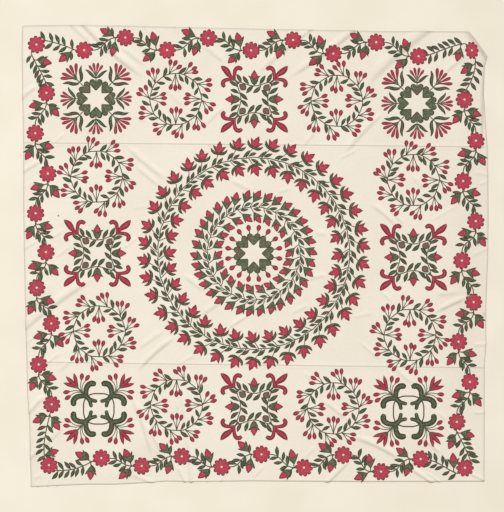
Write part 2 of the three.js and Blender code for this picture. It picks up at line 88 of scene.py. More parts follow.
# Soft folds, by the end that runs off the cloth: start across and down, end across and down,
# bow, all in plan units, then width and height in millimetres
FOLDS = {
    "none": (
        (118, 46, 146, 67, 0, 38, 4), (122, 143, 170, 183, -1.5, 42, 5), (132, 164, 160, 188, 0, 32, 4),
        (200, 132, 227, 106, 1, 34, 4), (200, 44, 226, 65, 0, 44, 4), (228, 181, 252, 193, 1, 40, 4),
        (386, 112, 343, 158, -2, 46, 7), (321, 126, 302, 149, 0, 30, 4), (468, 54, 443, 75, 0, 32, 6),
        (367, 202, 400, 230, 1, 34, 5), (178, 336, 137, 373, -2, 42, 8), (168, 329, 137, 351, 0, 40, 4),
        (223, 301, 202, 316, 0, 46, 5), (181, 274, 206, 294, 0, 42, 4), (250, 315, 226, 330, 0, 30, 5),
        (129, 392, 152, 461, 2, 42, 7), (140, 420, 164, 458, 1, 32, 5), (178, 390, 183, 425, 1, 34, 4),
        (469, 297, 434, 313, 0, 36, 8), (306, 282, 329, 277, 2, 34, 4), (388, 364, 414, 386, 0, 36, 4),
        (322, 400, 348, 421, 0, 32, 5), (349, 436, 402, 461, 2, 42, 7), (422, 438, 443, 456, 0, 30, 4),
        (163, 88, 186, 110, 0, 30, 3), (55, 143, 67, 133, 0, 22, 3), (133, 116, 148, 123, 0, 26, 3),
        (388, 210, 405, 226, 0, 26, 3), (276, 194, 292, 189, 0, 30, 3), (314, 234, 328, 236, 0, 40, 4),
        (410, 175, 424, 190, 0, 30, 3), (198, 354, 180, 364, 0, 24, 3), (176, 398, 177, 411, 0, 20, 3),
        (182, 394, 184, 421, 0, 20, 3), (60, 372, 72, 360, 0, 30, 3), (45, 366, 62, 352, 0, 30, 3),
        (33, 480, 44, 474, 0, 22, 4), (460, 293, 435, 296, 0, 45, 4), (381, 292, 391, 302, 0, 26, 3),
        (352, 318, 374, 314, 0, 30, 3), (437, 412, 447, 421, 0, 26, 3), (266, 465, 253, 479, 0, 26, 3),
        (316, 447, 305, 459, 0, 26, 3), (290, 315, 310, 305, 0, 30, 3), (302, 372, 314, 384, 0, 30, 3),
        (80, 127, 92, 135, 0, 24, 3), (49, 240, 66, 230, 0, 22, 3), (55, 259, 75, 244, 0, 26, 3),
        (122, 251, 139, 237, 0, 26, 3), (130, 209, 151, 207, 0, 24, 2), (337, 161, 359, 150, 0, 26, 3),
        (429, 223, 463, 203, 0, 26, 2), (356, 340, 382, 362, 0, 26, 3), (479, 80, 484, 134, 0, 12, 1.6)),
    "start": (
        (83, 26, 146, 80, -2.5, 52, 8), (70, 25, 93, 47, 0, 42, 4), (22, 99, 38, 86, 0, 38, 6),
        (23, 173, 42, 161, 0, 34, 5), (313, 29, 256, 76, -1, 40, 6), (356, 30, 286, 80, 2, 48, 8),
        (430, 31, 366, 89, -3, 78, 9), (27, 416, 46, 395, 0, 38, 7), (30, 459, 65, 426, -1, 38, 5),
        (24, 250, 40, 240, 0, 26, 3), (488, 176, 473, 173, 0, 22, 3), (488, 182, 478, 186, 0, 20, 3),
        (27, 322, 45, 312, 0, 26, 5), (485, 345, 472, 346, 0, 20, 4), (485, 413, 472, 414, 0, 20, 4),
        (488, 249, 470, 257, 0, 20, 3), (23, 60, 36, 52, 0, 18, 2.5), (23, 118, 33, 110, 0, 16, 2),
        (23, 189, 35, 181, 0, 16, 2), (24, 211, 34, 204, 0, 14, 2), (26, 343, 38, 336, 0, 18, 2.5),
        (39, 486, 44, 472, 0, 13, 3), (48, 486, 51, 474, 0, 12, 3), (57, 486, 60, 478, 0, 12, 2.5),
        (222, 481, 226, 472, 0, 14, 2), (208, 481, 212, 474, 0, 12, 2), (173, 25, 178, 36, 0, 20, 2.5),
        (143, 25, 150, 36, 0, 18, 2.5)),
    "end": (
        (95, 279, 26, 329, -2, 60, 8), (185, 430, 190, 483, 0.5, 32, 6), (409, 468, 431, 483, 0, 34, 7),
        (352, 459, 328, 483, 0, 34, 7), (176, 465, 184, 482, 0, 26, 5), (131, 475, 148, 482, 0, 30, 4),
        (424, 472, 438, 482, 0, 22, 4), (468, 473, 484, 481, 0, 22, 5)),
}

# The hem and seam allowances stand a little proud: distance in from the edge, and height.
HEM = np.array([(0, -0.0003), (0.0008, 0.0002), (0.002, 0.0005), (0.0078, 0.0005), (0.0096, 0)])
SEAM = np.array([(0, -0.0002), (0.0012, 0.0002), (0.003, 0.0004), (0.0095, 0.0004), (0.0118, 0)])
# Mesh lines near each edge: distances in from it
EDGE_LINES = np.array([0, 0.0008, 0.002, 0.0045, 0.0078, 0.0096, 0.0125])
# How much darker the cloth is by its distance from an edge, where soiling and a painted shadow line
# darken it, and from a seam, where it is worn and soiled
EDGE_SOIL_AND_SHADE = np.array([(0, 1), (0.002, 0.95), (0.0045, 0.35), (0.0078, 0.1), (0.0125, 0)])
WORN_SEAM = np.array([(0, 0.75), (0.0008, 0.6), (0.002, 0.35), (0.0045, 0)])
FOLD_SHADE_AND_SOIL = 22  # how much the cloth darkens for each metre that a fold stands up: painted shade and soiling along the folds
# Darker places: painted shade along the turned-under corner and the hem under it, and broad
# darker places near the other edges, given as folds are, their height as how much they darken
DARKENED_PLACES = {
    "none": (
        (472, 36, 486.4, 62, 0, 16, 0.5), (484.4, 50, 482.4, 160, 0, 26, 0.6),
        (474, 32.5, 436, 32, 0, 16, 0.25), (489, 20, 487, 500, 0, 420, 0.13)),
    "start": (
        (456, 17, 489.5, 66, 0, 60, 0.8), (28, 486, 50, 440, 0, 260, 0.13),
        (24, 322, 62, 292, 0, 170, 0.12), (136, 486, 166, 446, 0, 250, 0.13),
        (438, 484, 408, 446, 0, 220, 0.1)),
}
# Very slight unevenness of the whole cloth: wavelength, direction in degrees, height
RIPPLES = ((0.41, 20, 0.00022), (0.27, 75, 0.00018), (0.19, 130, 0.00016), (0.13, 165, 0.0001))


def smooth(value):
    value = np.clip(value, 0, 1)
    return value * value * (3 - 2 * value)


def new_object(name, data):
    made = bpy.data.objects.new(name, data)
    bpy.context.collection.objects.link(made)
    return made


def object_of(name, bm):
    mesh = bpy.data.meshes.new(name)
    bm.to_mesh(mesh)
    bm.free()
    return new_object(name, mesh)


def read(line, at):
    return np.interp(at, line[:, 0], line[:, 1])


def to_metres(x, y):
    return (x - MIDDLE_X) * UNIT, (MIDDLE_Y - y) * UNIT


def plan(x, y):
    """A place across and down the plan, as a complex number from its middle."""
    return complex(x - MIDDLE_X, MIDDLE_Y - y)


def fold_height(fold, opened, x, y):
    x0, y0, x1, y1, bow, wide, high = fold
    start, end = plan(x0, y0) * UNIT, plan(x1, y1) * UNIT
    length = abs(end - start)
    place = (x + 1j * y - start) * ((end - start) / length).conjugate()
    share = place.real / length
    rise = 1 if opened == "start" else smooth(share / TAPER)
    fall = 1 if opened == "end" else smooth((1 - share) / TAPER)
    inside = np.clip(share, 0, 1)
    side = place.imag - 4 * bow * UNIT * inside * (1 - inside)
    width = wide * 0.001 * (NARROW + (1 - NARROW) * rise * fall)
    out = 2 * side / width * (1 if (end - start).real > 0 else -1)
    flank = np.where(out > CREST, (out - CREST) / UPPER_FLANK, (CREST - out) / LOWER_FLANK)
    bell = np.cos(np.pi / 2 * np.clip(flank, 0, 1)) ** 2
    return high * 0.001 * rise * fall * bell


def heights_of(folds, x, y):
    return [fold_height(fold, opened, x, y) for opened, rows in folds.items() for fold in rows]


# The turned-under corner: the ends of its fold, its tip, and the tip's place once folded under
fold_start = plan(CORNER_FOLD_AT, read(TOP_EDGE, CORNER_FOLD_AT)) * UNIT
fold_end = plan(RIGHT_EDGE[0][1], RIGHT_EDGE[0][0]) * UNIT
tip = plan(*CORNER_TIP) * UNIT
outward = (fold_end - fold_start) / abs(fold_end - fold_start) * 1j


def dot(a, b):
    return (a * np.conj(b)).real


tip_under = tip - 2 * dot(tip - fold_start, outward) * outward


def distance_to_flap(place):
    inside = np.ones(place.shape, bool)
    nearest = np.full(place.shape, np.inf)
    corners = (fold_start, fold_end, tip_under)
    for a, b in zip(corners, corners[1:] + corners[:1]):
        inside &= ((b - a).conjugate() * (place - a)).imag <= 0
        share = np.clip(dot(place - a, b - a) / abs(b - a) ** 2, 0, 1)
        nearest = np.minimum(nearest, abs(place - a - (b - a) * share))
    return np.where(inside, 0, nearest)


def cloth_height(x, y):
    """Height of the cloth over where it lies flat, without its folds."""
    flap = distance_to_flap(x + 1j * y)
    raised = (2 * BEND_RADIUS + BEND_LIFT) * (1 - smooth(flap / CORNER_SLOPE))
    inward = -dot(x + 1j * y - fold_start, outward)
    along = dot(x + 1j * y - fold_start, fold_end - fold_start) / abs(fold_end - fold_start) ** 2
    high, outer, inner = SHOULDER
    ridge = high * smooth(inward / outer) * (1 - smooth((inward - outer) / inner))
    for past in (along + RIDGE_PAST, 1 + RIDGE_PAST - along):
        ridge = ridge * smooth(past / RIDGE_FADES)
    ripple = 0
    for wave, heading, height in RIPPLES:
        turn = math.radians(heading)
        run = x * math.cos(turn) + y * math.sin(turn)
        ripple = ripple + height * (1 + np.sin(2 * np.pi * run / wave)) / 2
    return raised + ridge + ripple


def mesh_lines(size, corner_at=0.0):
    """Places of mesh lines from 0 to 1, closer at both ends and past the share named."""
    even = np.linspace(0, size, int(round(size / THREADS_APART)) + 1)
    clear = EDGE_LINES[-1] + THREADS_APART / 2
    even = even[(even > clear) & (even < size - clear)]
    places = np.concatenate([EDGE_LINES, even, size - EDGE_LINES[::-1]]) / size
    if corner_at:
        places = places[places < corner_at - 0.001]
        places = np.concatenate([places, np.linspace(corner_at, 1, CORNER_LINES)])
    return places


class Length:
    """One length of ground cloth: a grid laid on the plan between two edges."""

    def __init__(self, name, above, below, flat):
        self.name, self.above, self.below, self.flat = name, above, below, flat
        self.cornered = above is TOP_EDGE
        reach = above[-1][0] - above[0][0]
        corner_at = (CORNER_FOLD_AT - above[0][0]) / reach if self.cornered else 0.0
        self.columns = mesh_lines(flat[0], corner_at)
        self.rows = mesh_lines(flat[1])
        self.chain_from = int(np.searchsorted(self.columns, corner_at))
        across, down = np.meshgrid(self.columns, self.rows)
        high = read(above, above[0][0] + reach * across)
        low = read(below, below[0][0] + (below[-1][0] - below[0][0]) * across)
        y = high + (low - high) * down
        left, right = read(LEFT_EDGE, y), read(RIGHT_EDGE, y)
        x = left + (right - left) * across
        lift = self.border_lift(x, y, high, low, left, right)
        mx, my = to_metres(x, y)
        if above is not TOP_EDGE:
            my[0] -= SEAM_HALF_GAP
        if below is not BOTTOM_EDGE:
            my[-1] += SEAM_HALF_GAP
        folded = np.sqrt(sum(height ** 2 for height in heights_of(FOLDS, mx, my)))
        z = CLOTH_TOP + cloth_height(mx, my) + folded + lift
        # The cloth's darkening, kept in its rim attribute: soiling and a painted shadow line at the
        # edges, darker seams, painted shade and soiling along the folds, painted shade at the
        # turned-under corner, and broad darker places near the edges
        soil_and_shade = [read(EDGE_SOIL_AND_SHADE, np.minimum(x - left, right - x) * UNIT)]
        for edge, far in ((above, (y - high) * UNIT), (below, (low - y) * UNIT)):
            soil_and_shade.append(read(EDGE_SOIL_AND_SHADE if edge is TOP_EDGE or edge is BOTTOM_EDGE else WORN_SEAM, far))
        soil_and_shade = np.max(soil_and_shade, axis=0) + folded * FOLD_SHADE_AND_SOIL
        soil_and_shade += sum(heights_of(DARKENED_PLACES, mx, my)) * 1000
        self.soil_and_shade = np.clip(soil_and_shade, 0, 1).ravel()
        self.points = np.stack([mx, my, z], axis=-1).reshape(-1, 3)

    def border_lift(self, x, y, high, low, left, right):
        # The hem fades out where the corner turns under
        off_corner = 1 - smooth((x - CORNER_FOLD_AT + 2) / 4) * smooth((60 - y) / 3)
        top = read(HEM if self.cornered else SEAM, (y - high) * UNIT)
        bottom = read(HEM if self.below is BOTTOM_EDGE else SEAM, (low - y) * UNIT)
        side = read(HEM, np.minimum(x - left, right - x) * UNIT)
        lifts = np.stack([top * (off_corner if self.cornered else 1), bottom, side])
        return np.take_along_axis(lifts, abs(lifts).argmax(0)[None], 0)[0]

    def make(self):
        bm = bmesh.new()
        rim = bm.verts.layers.float.new("rim")
        bmesh.ops.create_grid(
            bm, x_segments=len(self.columns) - 1, y_segments=len(self.rows) - 1, size=1)
        for vert, point, soil_and_shade in zip(bm.verts, self.points.tolist(), self.soil_and_shade.tolist()):
            vert.co = point
            vert[rim] = soil_and_shade
        bmesh.ops.reverse_faces(bm, faces=bm.faces[:])
        bmesh.ops.triangulate(bm, faces=bm.faces[:], quad_method="SHORT_EDGE")
        bm.verts.ensure_lookup_table()
        self.top = [v.co.copy() for v in bm.verts]
        self.triangles = [tuple(v.index for v in f.verts) for f in bm.faces]
        if self.cornered:
            self.turn_corner(bm)
        bmesh.ops.solidify(bm, geom=bm.faces[:], thickness=CLOTH)
        for face in bm.faces:
            face.smooth = True
        return object_of(self.name, bm)

    def turn_corner(self, bm):
        """Carries the cloth over the corner's fold and back underneath, row by row."""
        chain = [bm.verts[i] for i in range(self.chain_from, len(self.columns))]
        starts = [v.co.copy() for v in chain]
        rows = [(math.pi * BEND_RADIUS * i / BEND_STEPS, None) for i in range(1, BEND_STEPS + 1)]
        rows += [(None, share) for share in FLAP_ROWS]
        outer = BEND_RADIUS + CLOTH / 2
        for reach, share in rows:
            edges = [e for v in chain for e in v.link_edges if e.other_vert(v) in chain]
            made = bmesh.ops.extrude_edge_only(bm, edges=list(set(edges)))["geom"]
            fresh = {v for v in made if isinstance(v, bmesh.types.BMVert)}
            following = [
                next(e.other_vert(old) for e in old.link_edges if e.other_vert(old) in fresh)
                for old in chain]
            for vert, at in zip(following, starts):
                start = complex(at.x, at.y)
                depth = dot(tip - start, outward)
                along = share if share is not None else reach / depth
                gone = along * depth
                foot = start + (tip - start) * along - outward * gone
                turn = min(math.pi, gone / BEND_RADIUS)
                out = outer * math.sin(turn) - max(0, gone - math.pi * BEND_RADIUS)
                place = foot + outward * out
                vert.co = (place.real, place.imag, at.z - outer * (1 - math.cos(turn)))
            chain = following
        bmesh.ops.remove_doubles(bm, verts=chain, dist=0.001)


# Ground cloth: name, upper and lower edge, and the size each was cut to, with its hems let out
LENGTHS = (
    Length("length_top", TOP_EDGE, UPPER_SEAM, (2.43, 0.61)),
    Length("length_middle", UPPER_SEAM, LOWER_SEAM, (2.42, 1.145)),
    Length("length_bottom", LOWER_SEAM, BOTTOM_EDGE, (2.38, 0.61)),
)
pieces = {}
cloth_points, cloth_faces = [], []
for length in LENGTHS:
    pieces[length.name] = length.make()
    first = len(cloth_points)
    cloth_points += length.top
    cloth_faces += [tuple(first + i for i in face) for face in length.triangles]
cloth_surface = BVHTree.FromPolygons(cloth_points, cloth_faces)
DOWN = Vector((0, 0, -1))


def rest_on_cloth(places):
    """Heights of the cloth's top under places given as complex metres."""
    heights = np.empty(len(places))
    for i, place in enumerate(places.tolist()):
        above = Vector((place.real, place.imag, 1))
        hit = cloth_surface.ray_cast(above, DOWN)[0]
        if hit is None:
            above.z = CLOTH_TOP
            hit = cloth_surface.find_nearest(above)[0]
        heights[i] = hit.z
    return heights


# Shapes to sew on. Places are in plan units, and heights in millimetres over the cloth.
SUNK = -0.15  # height of their undersides


class Shape:
    """A sewn-on shape as arrays: places, heights, how near each point is to its edge, triangles."""

    def __init__(self, bm, rim):
        bmesh.ops.recalc_face_normals(bm, faces=bm.faces[:])
        bmesh.ops.triangulate(bm, faces=bm.faces[:])
        bm.verts.index_update()
        self.at = np.array([complex(v.co.x, v.co.y) for v in bm.verts])
        self.up = np.array([v.co.z for v in bm.verts])
        self.rim = np.array([v[rim] for v in bm.verts])
        self.faces = np.array([[v.index for v in f.verts] for f in bm.faces])
        bm.free()


# How a patch rises from its outline to its middle: share of the way in, height, nearness to edge
SMALL_PATCH = ((0.03, 0.75, 0.95), (0.24, 0.95, 0.4), (0.6, 0.95, 0))
MIDDLE_PATCH = ((0.02, 0.75, 0.95), (0.14, 0.95, 0.45), (0.5, 0.85, 0.08))
LARGE_PATCH = ((0.015, 0.8, 1), (0.09, 1.05, 0.5), (0.26, 0.95, 0.12), (0.52, 0.8, 0), (0.78, 0.8, 0))


def patch(outline, middle, tiers, lift=0.0):
    """A patch cut to an outline, with its edge turned under.

    Its underside has the same rings as its top, so that both follow the cloth alike."""
    bm = bmesh.new()
    rim = bm.verts.layers.float.new("rim")
    corners = [bm.verts.new((p.real, p.imag, SUNK)) for p in outline]
    for vert in corners:
        vert[rim] = 1
    centre = Vector((middle.real, middle.imag, 0))
    underside = [(share, SUNK, 0) for share, _, _ in tiers[1:]]
    for rings in (underside, [(share, height + lift, soil_and_shade) for share, height, soil_and_shade in tiers]):
        face = bm.faces.new(corners)
        gone = 0
        for share, height, soil_and_shade in rings:
            made = bmesh.ops.extrude_face_region(bm, geom=[face])["geom"]
            bmesh.ops.delete(bm, geom=[face], context="FACES_ONLY")
            face = next(g for g in made if isinstance(g, bmesh.types.BMFace))
            inward = (1 - share) / (1 - gone)
            gone = share
            for vert in face.verts:
                vert.co = centre + (vert.co - centre) * inward
                vert.co.z = height
                vert[rim] = soil_and_shade
        poked = bmesh.ops.poke(bm, faces=[face])["verts"][0]
        poked.co = (middle.real, middle.imag, rings[-1][1])
        poked[rim] = 0
    return Shape(bm, rim)


# A strip's section from edge to edge and back underneath: place across, share of its height, rim
FULL_SECTION = (
    (-1, 0, 1), (-0.74, 0.85, 0.75), (0, 1, 0.1), (0.74, 0.85, 0.75), (1, 0, 1), (0, 0, 0), (-1, 0, 1))
THIN_SECTION = ((-1, 0, 1), (-0.55, 1, 0.5), (0.55, 1, 0.5), (1, 0, 1), (-1, 0, 1))


def strip(spine, halves, height, section=FULL_SECTION):
    """A strip of cloth along a spine, with its half-width at each point of it."""
    spine = np.asarray(spine, complex)
    halves = np.broadcast_to(np.asarray(halves, float), spine.shape)
    across = np.gradient(spine)
    across = across / abs(across) * -1j
    bm = bmesh.new()
    rim = bm.verts.layers.float.new("rim")
    bmesh.ops.create_grid(bm, x_segments=len(section) - 1, y_segments=len(spine) - 1, size=1)
    bm.verts.ensure_lookup_table()
    full = halves.max()
    for i, (point, half, side) in enumerate(zip(spine, halves, across)):
        risen = min(1.0, 2.2 * half / full)
        for j, (out, share, soil_and_shade) in enumerate(section):
            vert = bm.verts[i * len(section) + j]
            place = point + side * half * out
            vert.co = (place.real, place.imag, SUNK + (height - SUNK) * share * risen)
            vert[rim] = soil_and_shade
    bmesh.ops.remove_doubles(bm, verts=bm.verts[:], dist=1e-5)
    ends = [e for e in bm.edges if e.is_boundary]
    if ends:
        bmesh.ops.holes_fill(bm, edges=ends, sides=0)
    return Shape(bm, rim)


def on_curve(curve, run, at):
    """Where a curve is at a distance or share of it."""
    return np.interp(at, run, curve.real) + 1j * np.interp(at, run, curve.imag)


def run_along(points):
    """How far along a line each of its points is."""
    return np.concatenate([[0], np.cumsum(abs(np.diff(points)))])


def through(points, steps):
    """A smooth curve through points, with its points evenly spread."""
    points = np.asarray(points, complex)
    before = 2 * points[0] - points[1]
    after = 2 * points[-1] - points[-2]
    held = np.concatenate([[before], points, [after]])
    share = np.linspace(0, 1, 9)[:-1]
    curve = []
    for a, b, c, d in zip(held, held[1:], held[2:], held[3:]):
        curve.append(0.5 * (2 * b + (c - a) * share + (2 * a - 5 * b + 4 * c - d) * share ** 2
                            + (3 * b - 3 * c + d - a) * share ** 3))
    curve = np.concatenate(curve + [points[-1:]])
    run = run_along(curve)
    return on_curve(curve, run, np.linspace(0, run[-1], steps + 1))


def as_places(pairs):
    """Pairs of across and up, as complex numbers."""
    return [complex(*pair) for pair in pairs]


def mirrored(pairs):
    """A half outline from bottom to top at the right, closed with its mirror image."""
    right = as_places(pairs)
    left = [complex(-p.real, p.imag) for p in reversed(right) if abs(p.real) > 1e-6]
    return right + left


def rounded(outline):
    """Cuts an outline's corners."""
    sides = zip(outline, outline[1:] + outline[:1])
    return [p for a, b in sides for p in (0.75 * a + 0.25 * b, 0.25 * a + 0.75 * b)]


def way(degrees):
    """The direction at an angle, counted from across the plan towards up it."""
    return cmath.rect(1, math.radians(degrees))


WIDE_FACE = 0.008  # faces with a side longer than this are kept clear of the cloth,
CLEARANCE = 0.0006  # and their middles this far over it


class Patchwork:
    """All the shapes of one cotton in one part of the bedspread, joined into one mesh."""

    def __init__(self, name, cotton, slot):
        self.name, self.cotton, self.slot = name, cotton, slot
        self.at, self.up, self.rim, self.grain, self.tone, self.faces = [], [], [], [], [], []
        self.count = 0
        self.luck = random.Random(name)

    def sew(self, shape, at, heading=1j, size=1.0, flip=False, narrow=None):
        local = -shape.at.conjugate() if flip else shape.at
        turn = heading / abs(heading) / 1j
        placed = size * turn * local
        if narrow:
            across, share = narrow
            placed = placed - dot(placed, across) * across * (1 - share)
        self.at.append(at + placed)
        self.up.append(shape.up)
        self.rim.append(shape.rim)
        weave = local * size * way(self.luck.uniform(-40, 40))
        weave = weave + complex(self.luck.uniform(0, 400), self.luck.uniform(0, 400))
        self.grain.append(weave * UNIT)
        self.tone.append(np.full(len(local), self.luck.random()))
        faces = shape.faces[:, ::-1] if flip else shape.faces
        self.faces.append(faces + self.count)
        self.count += len(local)

    def clear_cloth(self, at, over, up, faces):
        """Raises the corners of wide faces where a fold would come through their middle."""
        corners = at[faces]
        spans = abs(corners - np.roll(corners, 1, 1)).max(1)
        wide = faces[(spans > WIDE_FACE) & (over[faces].min(1) > 0)]
        if not len(wide):
            return
        for _ in range(2):
            short = rest_on_cloth(at[wide].mean(1)) + CLEARANCE - up[wide].mean(1)
            lift = np.zeros(len(up))
            for corner in range(3):
                np.maximum.at(lift, wide[:, corner], np.maximum(short, 0))
            up += lift

    def make(self):
        at = np.concatenate(self.at) * UNIT
        over = np.concatenate(self.up) * 0.001
        up = over + rest_on_cloth(at)
        faces = np.concatenate(self.faces).astype(np.int32)
        self.clear_cloth(at, over, up, faces)
        mesh = bpy.data.meshes.new(self.name)
        mesh.vertices.add(len(at))
        mesh.vertices.foreach_set("co", np.stack([at.real, at.imag, up], -1).ravel())
        mesh.loops.add(faces.size)
        mesh.loops.foreach_set("vertex_index", faces.ravel())
        mesh.polygons.add(len(faces))
        mesh.polygons.foreach_set("loop_start", np.arange(0, faces.size, 3, dtype=np.int32))
        mesh.polygons.foreach_set("use_smooth", np.ones(len(faces), bool))
        for key, values in (("rim", self.rim), ("tone", self.tone)):
            layer = mesh.attributes.new(key, "FLOAT", "POINT")
            layer.data.foreach_set("value", np.concatenate(values).astype(np.float32))
        grain = np.concatenate(self.grain)
        layer = mesh.attributes.new("grain", "FLOAT_VECTOR", "POINT")
        flat = np.stack([grain.real, grain.imag, np.zeros(len(grain))], -1)
        layer.data.foreach_set("vector", flat.astype(np.float32).ravel())
        mesh.update()
        mesh.validate()
        return new_object(self.name, mesh)


# Cotton and slot of each kind of shape
KINDS = {
    "flowers": ("crimson_cotton", "crimson_cotton"),
    "leaves": ("green_print_cotton", "green_cotton"),
    "brown_leaves": ("brown_print_cotton", "green_cotton"),
    "stems": ("stem_cotton", "green_cotton"),
    "centres": ("cream_cotton", "ground_cotton"),
}
works = {}
STEM_HALF, STALK_HALF = 0.62, 0.46  # half-widths, in plan units
STEM_STEP = 1.3  # between a stem's points
STEM_HIGH = 0.55


def work(part, kind):
    name = f"{part}_{kind}"
    if name not in works:
        works[name] = Patchwork(name, *KINDS[kind])
    return works[name]


class Block:
    """A place for a group of motifs, turned or mirrored as one."""

    def __init__(self, part, centre, turn=0.0, flip=False, seed=0):
        self.part, self.centre, self.turn, self.flip = part, centre, way(turn), flip
        self.luck = random.Random(f"{part}{seed}")

    def place(self, at):
        return self.centre + self.turn * (-complex(at).conjugate() if self.flip else at)

    def sew(self, kind, shape, at, heading=1j, size=1.0, flip=False):
        heading = self.turn * (-complex(heading).conjugate() if self.flip else heading)
        work(self.part, kind).sew(shape, self.place(at), heading, size, flip != self.flip)

    def stem(self, points, half=STEM_HALF, end=None, kind="stems"):
        """A stem through points. It tapers evenly where its end has a half-width of its own."""
        steps = max(2, round(run_along(points)[-1] / STEM_STEP))
        spine = [self.place(p) for p in through(points, steps)]
        halves = np.linspace(half, end or half, steps + 1)
        work(self.part, kind).sew(strip(spine, halves, STEM_HIGH, THIN_SECTION), 0j)

    def jitter(self, degrees):
        return self.luck.uniform(-degrees, degrees)


# Motifs, in plan units
def swelling(share, fullest):
    """A bulge from 0 to 1 and back to 0, fullest at the share named."""
    return np.clip(np.sin(np.pi * share ** (math.log(0.5) / math.log(fullest))), 0, 1)


def leaf_shape(width, bend, fullest):
    """A pointed leaf growing along +y for one unit, with a narrow tail, bent to one side."""
    share = np.linspace(0, 1, 7)
    half = width / 2 * swelling(share, fullest) ** 0.9
    half = np.where(share < 0.14, np.maximum(half, width * 0.09), half)  # its tail
    half[0], half[-1] = width * 0.07, 0
    return strip(bend * np.sin(np.pi * share) + 1j * share, half, 0.85)


# Leaves by how far they bend, and where they are fullest
LEAVES = [leaf_shape(0.39, *form) for form in ((0.04, 0.5), (-0.04, 0.53), (0, 0.47), (0.08, 0.55))]


def petal_shape(root, width, peak=0.72, pointed=False):
    """A petal growing along +y for one unit, from a narrow root to a round or pointed end."""
    share = np.linspace(0, 1, 8) ** 0.8
    half = root / 2 + (width - root) / 2 * smooth(share / peak)
    fall = np.clip((share - peak) / (1 - peak), 0, 1)
    half = half * (1 - fall ** 1.7 if pointed else np.sqrt(1 - fall ** 2))
    return strip(1j * share, half, 0.85)


def drop_shape(width):
    """A drop-shaped bud growing along +y for one unit."""
    share = np.array([0, 0.12, 0.32, 0.52, 0.72, 0.88, 1])
    half = np.array([0.14, 0.42, 0.8, 1, 0.92, 0.58, 0]) * width / 2
    return strip(1j * share, half, 0.9)


DROP = drop_shape(0.58)
BEAD = drop_shape(0.69)


def rose_shape(outer, notch, lobes, around):
    """A round rose with a scalloped edge, with so many points to a lobe."""
    angles = np.arange(lobes * around) * math.tau / (lobes * around)
    swell = abs(np.cos(angles * lobes / 2)) ** 0.6
    outline = (notch + (outer - notch) * swell) * np.exp(1j * angles)
    return patch(outline.tolist(), 0j, LARGE_PATCH, lift=0.15)


ROSE = rose_shape(9.1, 6.9, 10, 8)
ROSE_CENTRE = patch([1.2 * way(a) for a in range(0, 360, 36)], 0j, SMALL_PATCH, lift=0.75)
BUD = patch(
    rounded(mirrored([(0, 4.2), (2.4, 5), (3.6, 7.8), (3.4, 10.3), (2, 12.8), (0, 15.6)])),
    9.4j, SMALL_PATCH)
CALYX = patch(
    mirrored([(0, -0.6), (1.3, 1), (3.2, 3.8), (5, 6.7), (6.1, 9.7), (4.3, 8.9), (2.6, 7.3), (0, 6.4)]),
    3.9j, SMALL_PATCH, lift=0.45)
HEART = patch(
    rounded(mirrored([(0, -0.3), (2.8, 2.7), (5.3, 5.4), (6.6, 7.7), (6.4, 10.4), (4.6, 11.9),
                      (2.3, 11.7), (0.5, 10), (0, 9.2)])),
    6.4j, LARGE_PATCH)
TULIP = patch(
    mirrored([(0, -0.6), (2.7, 0.2), (4.9, 2.8), (7.9, 8.4), (5, 7.6), (3.1, 7), (2.7, 9.9), (0, 14)]),
    4.2j, SMALL_PATCH)
CRESCENT = strip(
    through(as_places((
        (-9.7, 5.3), (-7.6, 1.9), (-4, -0.4), (0, -1), (4, -0.4), (7.6, 1.9), (9.7, 5.3))), 12),
    np.array([0, 0.95, 1.6, 1.85, 1.8, 1.5, 1.3, 1.5, 1.8, 1.85, 1.6, 0.95, 0]), 1.15)
BUD_PAIR, TULIP_PAIR = (BUD, CALYX), (TULIP, CRESCENT)


def sew_leaf(block, at, heading, length):
    shape = block.luck.choice(LEAVES)
    heading *= way(block.jitter(5))
    size = length * block.luck.uniform(0.93, 1.07)
    block.sew("leaves", shape, at, heading, size, block.luck.random() < 0.5)


def sew_pair(block, pair, at, heading, size):
    """A bud and its calyx, or a tulip and the crescent of leaf round it."""
    for kind, shape in zip(("flowers", "leaves"), pair):
        block.sew(kind, shape, at, heading, size)


# Border: roses along each side, in the order in which the vine grows, as (across, down), and the
# way in which it grows
BORDER = {
    "top": ((471.6, 50.6), (418.5, 56.4), (376.2, 42.4), (333.3, 53.7), (293.1, 40.3), (251.1, 50.5),
            (208.4, 38.2), (167.1, 50.2), (125.4, 37.7), (84.2, 50.3), (36.5, 44.7)),
    "left": ((36.5, 44.7), (46.5, 93), (35.3, 133.3), (47.9, 173.7), (35.7, 213.4), (46, 252.2),
             (36.8, 287.7), (51.4, 323.5), (38.8, 364.5), (51.8, 404.3), (49, 465.1)),
    "right": ((471.6, 50.6), (464.4, 99.7), (475.9, 140.8), (463.1, 181.1), (475.7, 221.2),
              (461.8, 260.6), (473.5, 302.1), (458.5, 341.7), (469.9, 381.9), (456.8, 421.9),
              (464.9, 467.8)),
    "bottom": ((464.9, 467.8), (420.6, 459), (381, 471.6), (343.3, 454.9), (303.9, 467.6),
               (261.5, 454.3), (221.7, 466.9), (181.9, 456.4), (141.8, 466), (101.3, 458.1),
               (49, 465.1)),
}
GROWTH = {"top": -1, "left": -1j, "right": -1j, "bottom": -1}
ROSE_EDGE = 8.4  # from a rose's middle to where the vine comes out
STEM_PULL, CORNER_PULL = 0.45, 0.36  # how far a stem keeps the way in which it leaves a rose
BUD_LEAN, LEAST_LEAN = 57, 24  # of buds from the vine, in degrees
BUD_REACH = 20.5  # from the vine to a bud's tip
BUD_LEAF, VINE_LEAF = 9.8, 10.2  # lengths of leaves
LEAF_LEAN, CORNER_LEAF_LEAN = 47, 53  # of leaves from the vine, in degrees
# Shares of a stem: where its leaves start, how far past a bud they do, and where they end
LEAVES_FROM, PAST_BUD, LEAVES_TO = 0.04, 0.22, 0.67
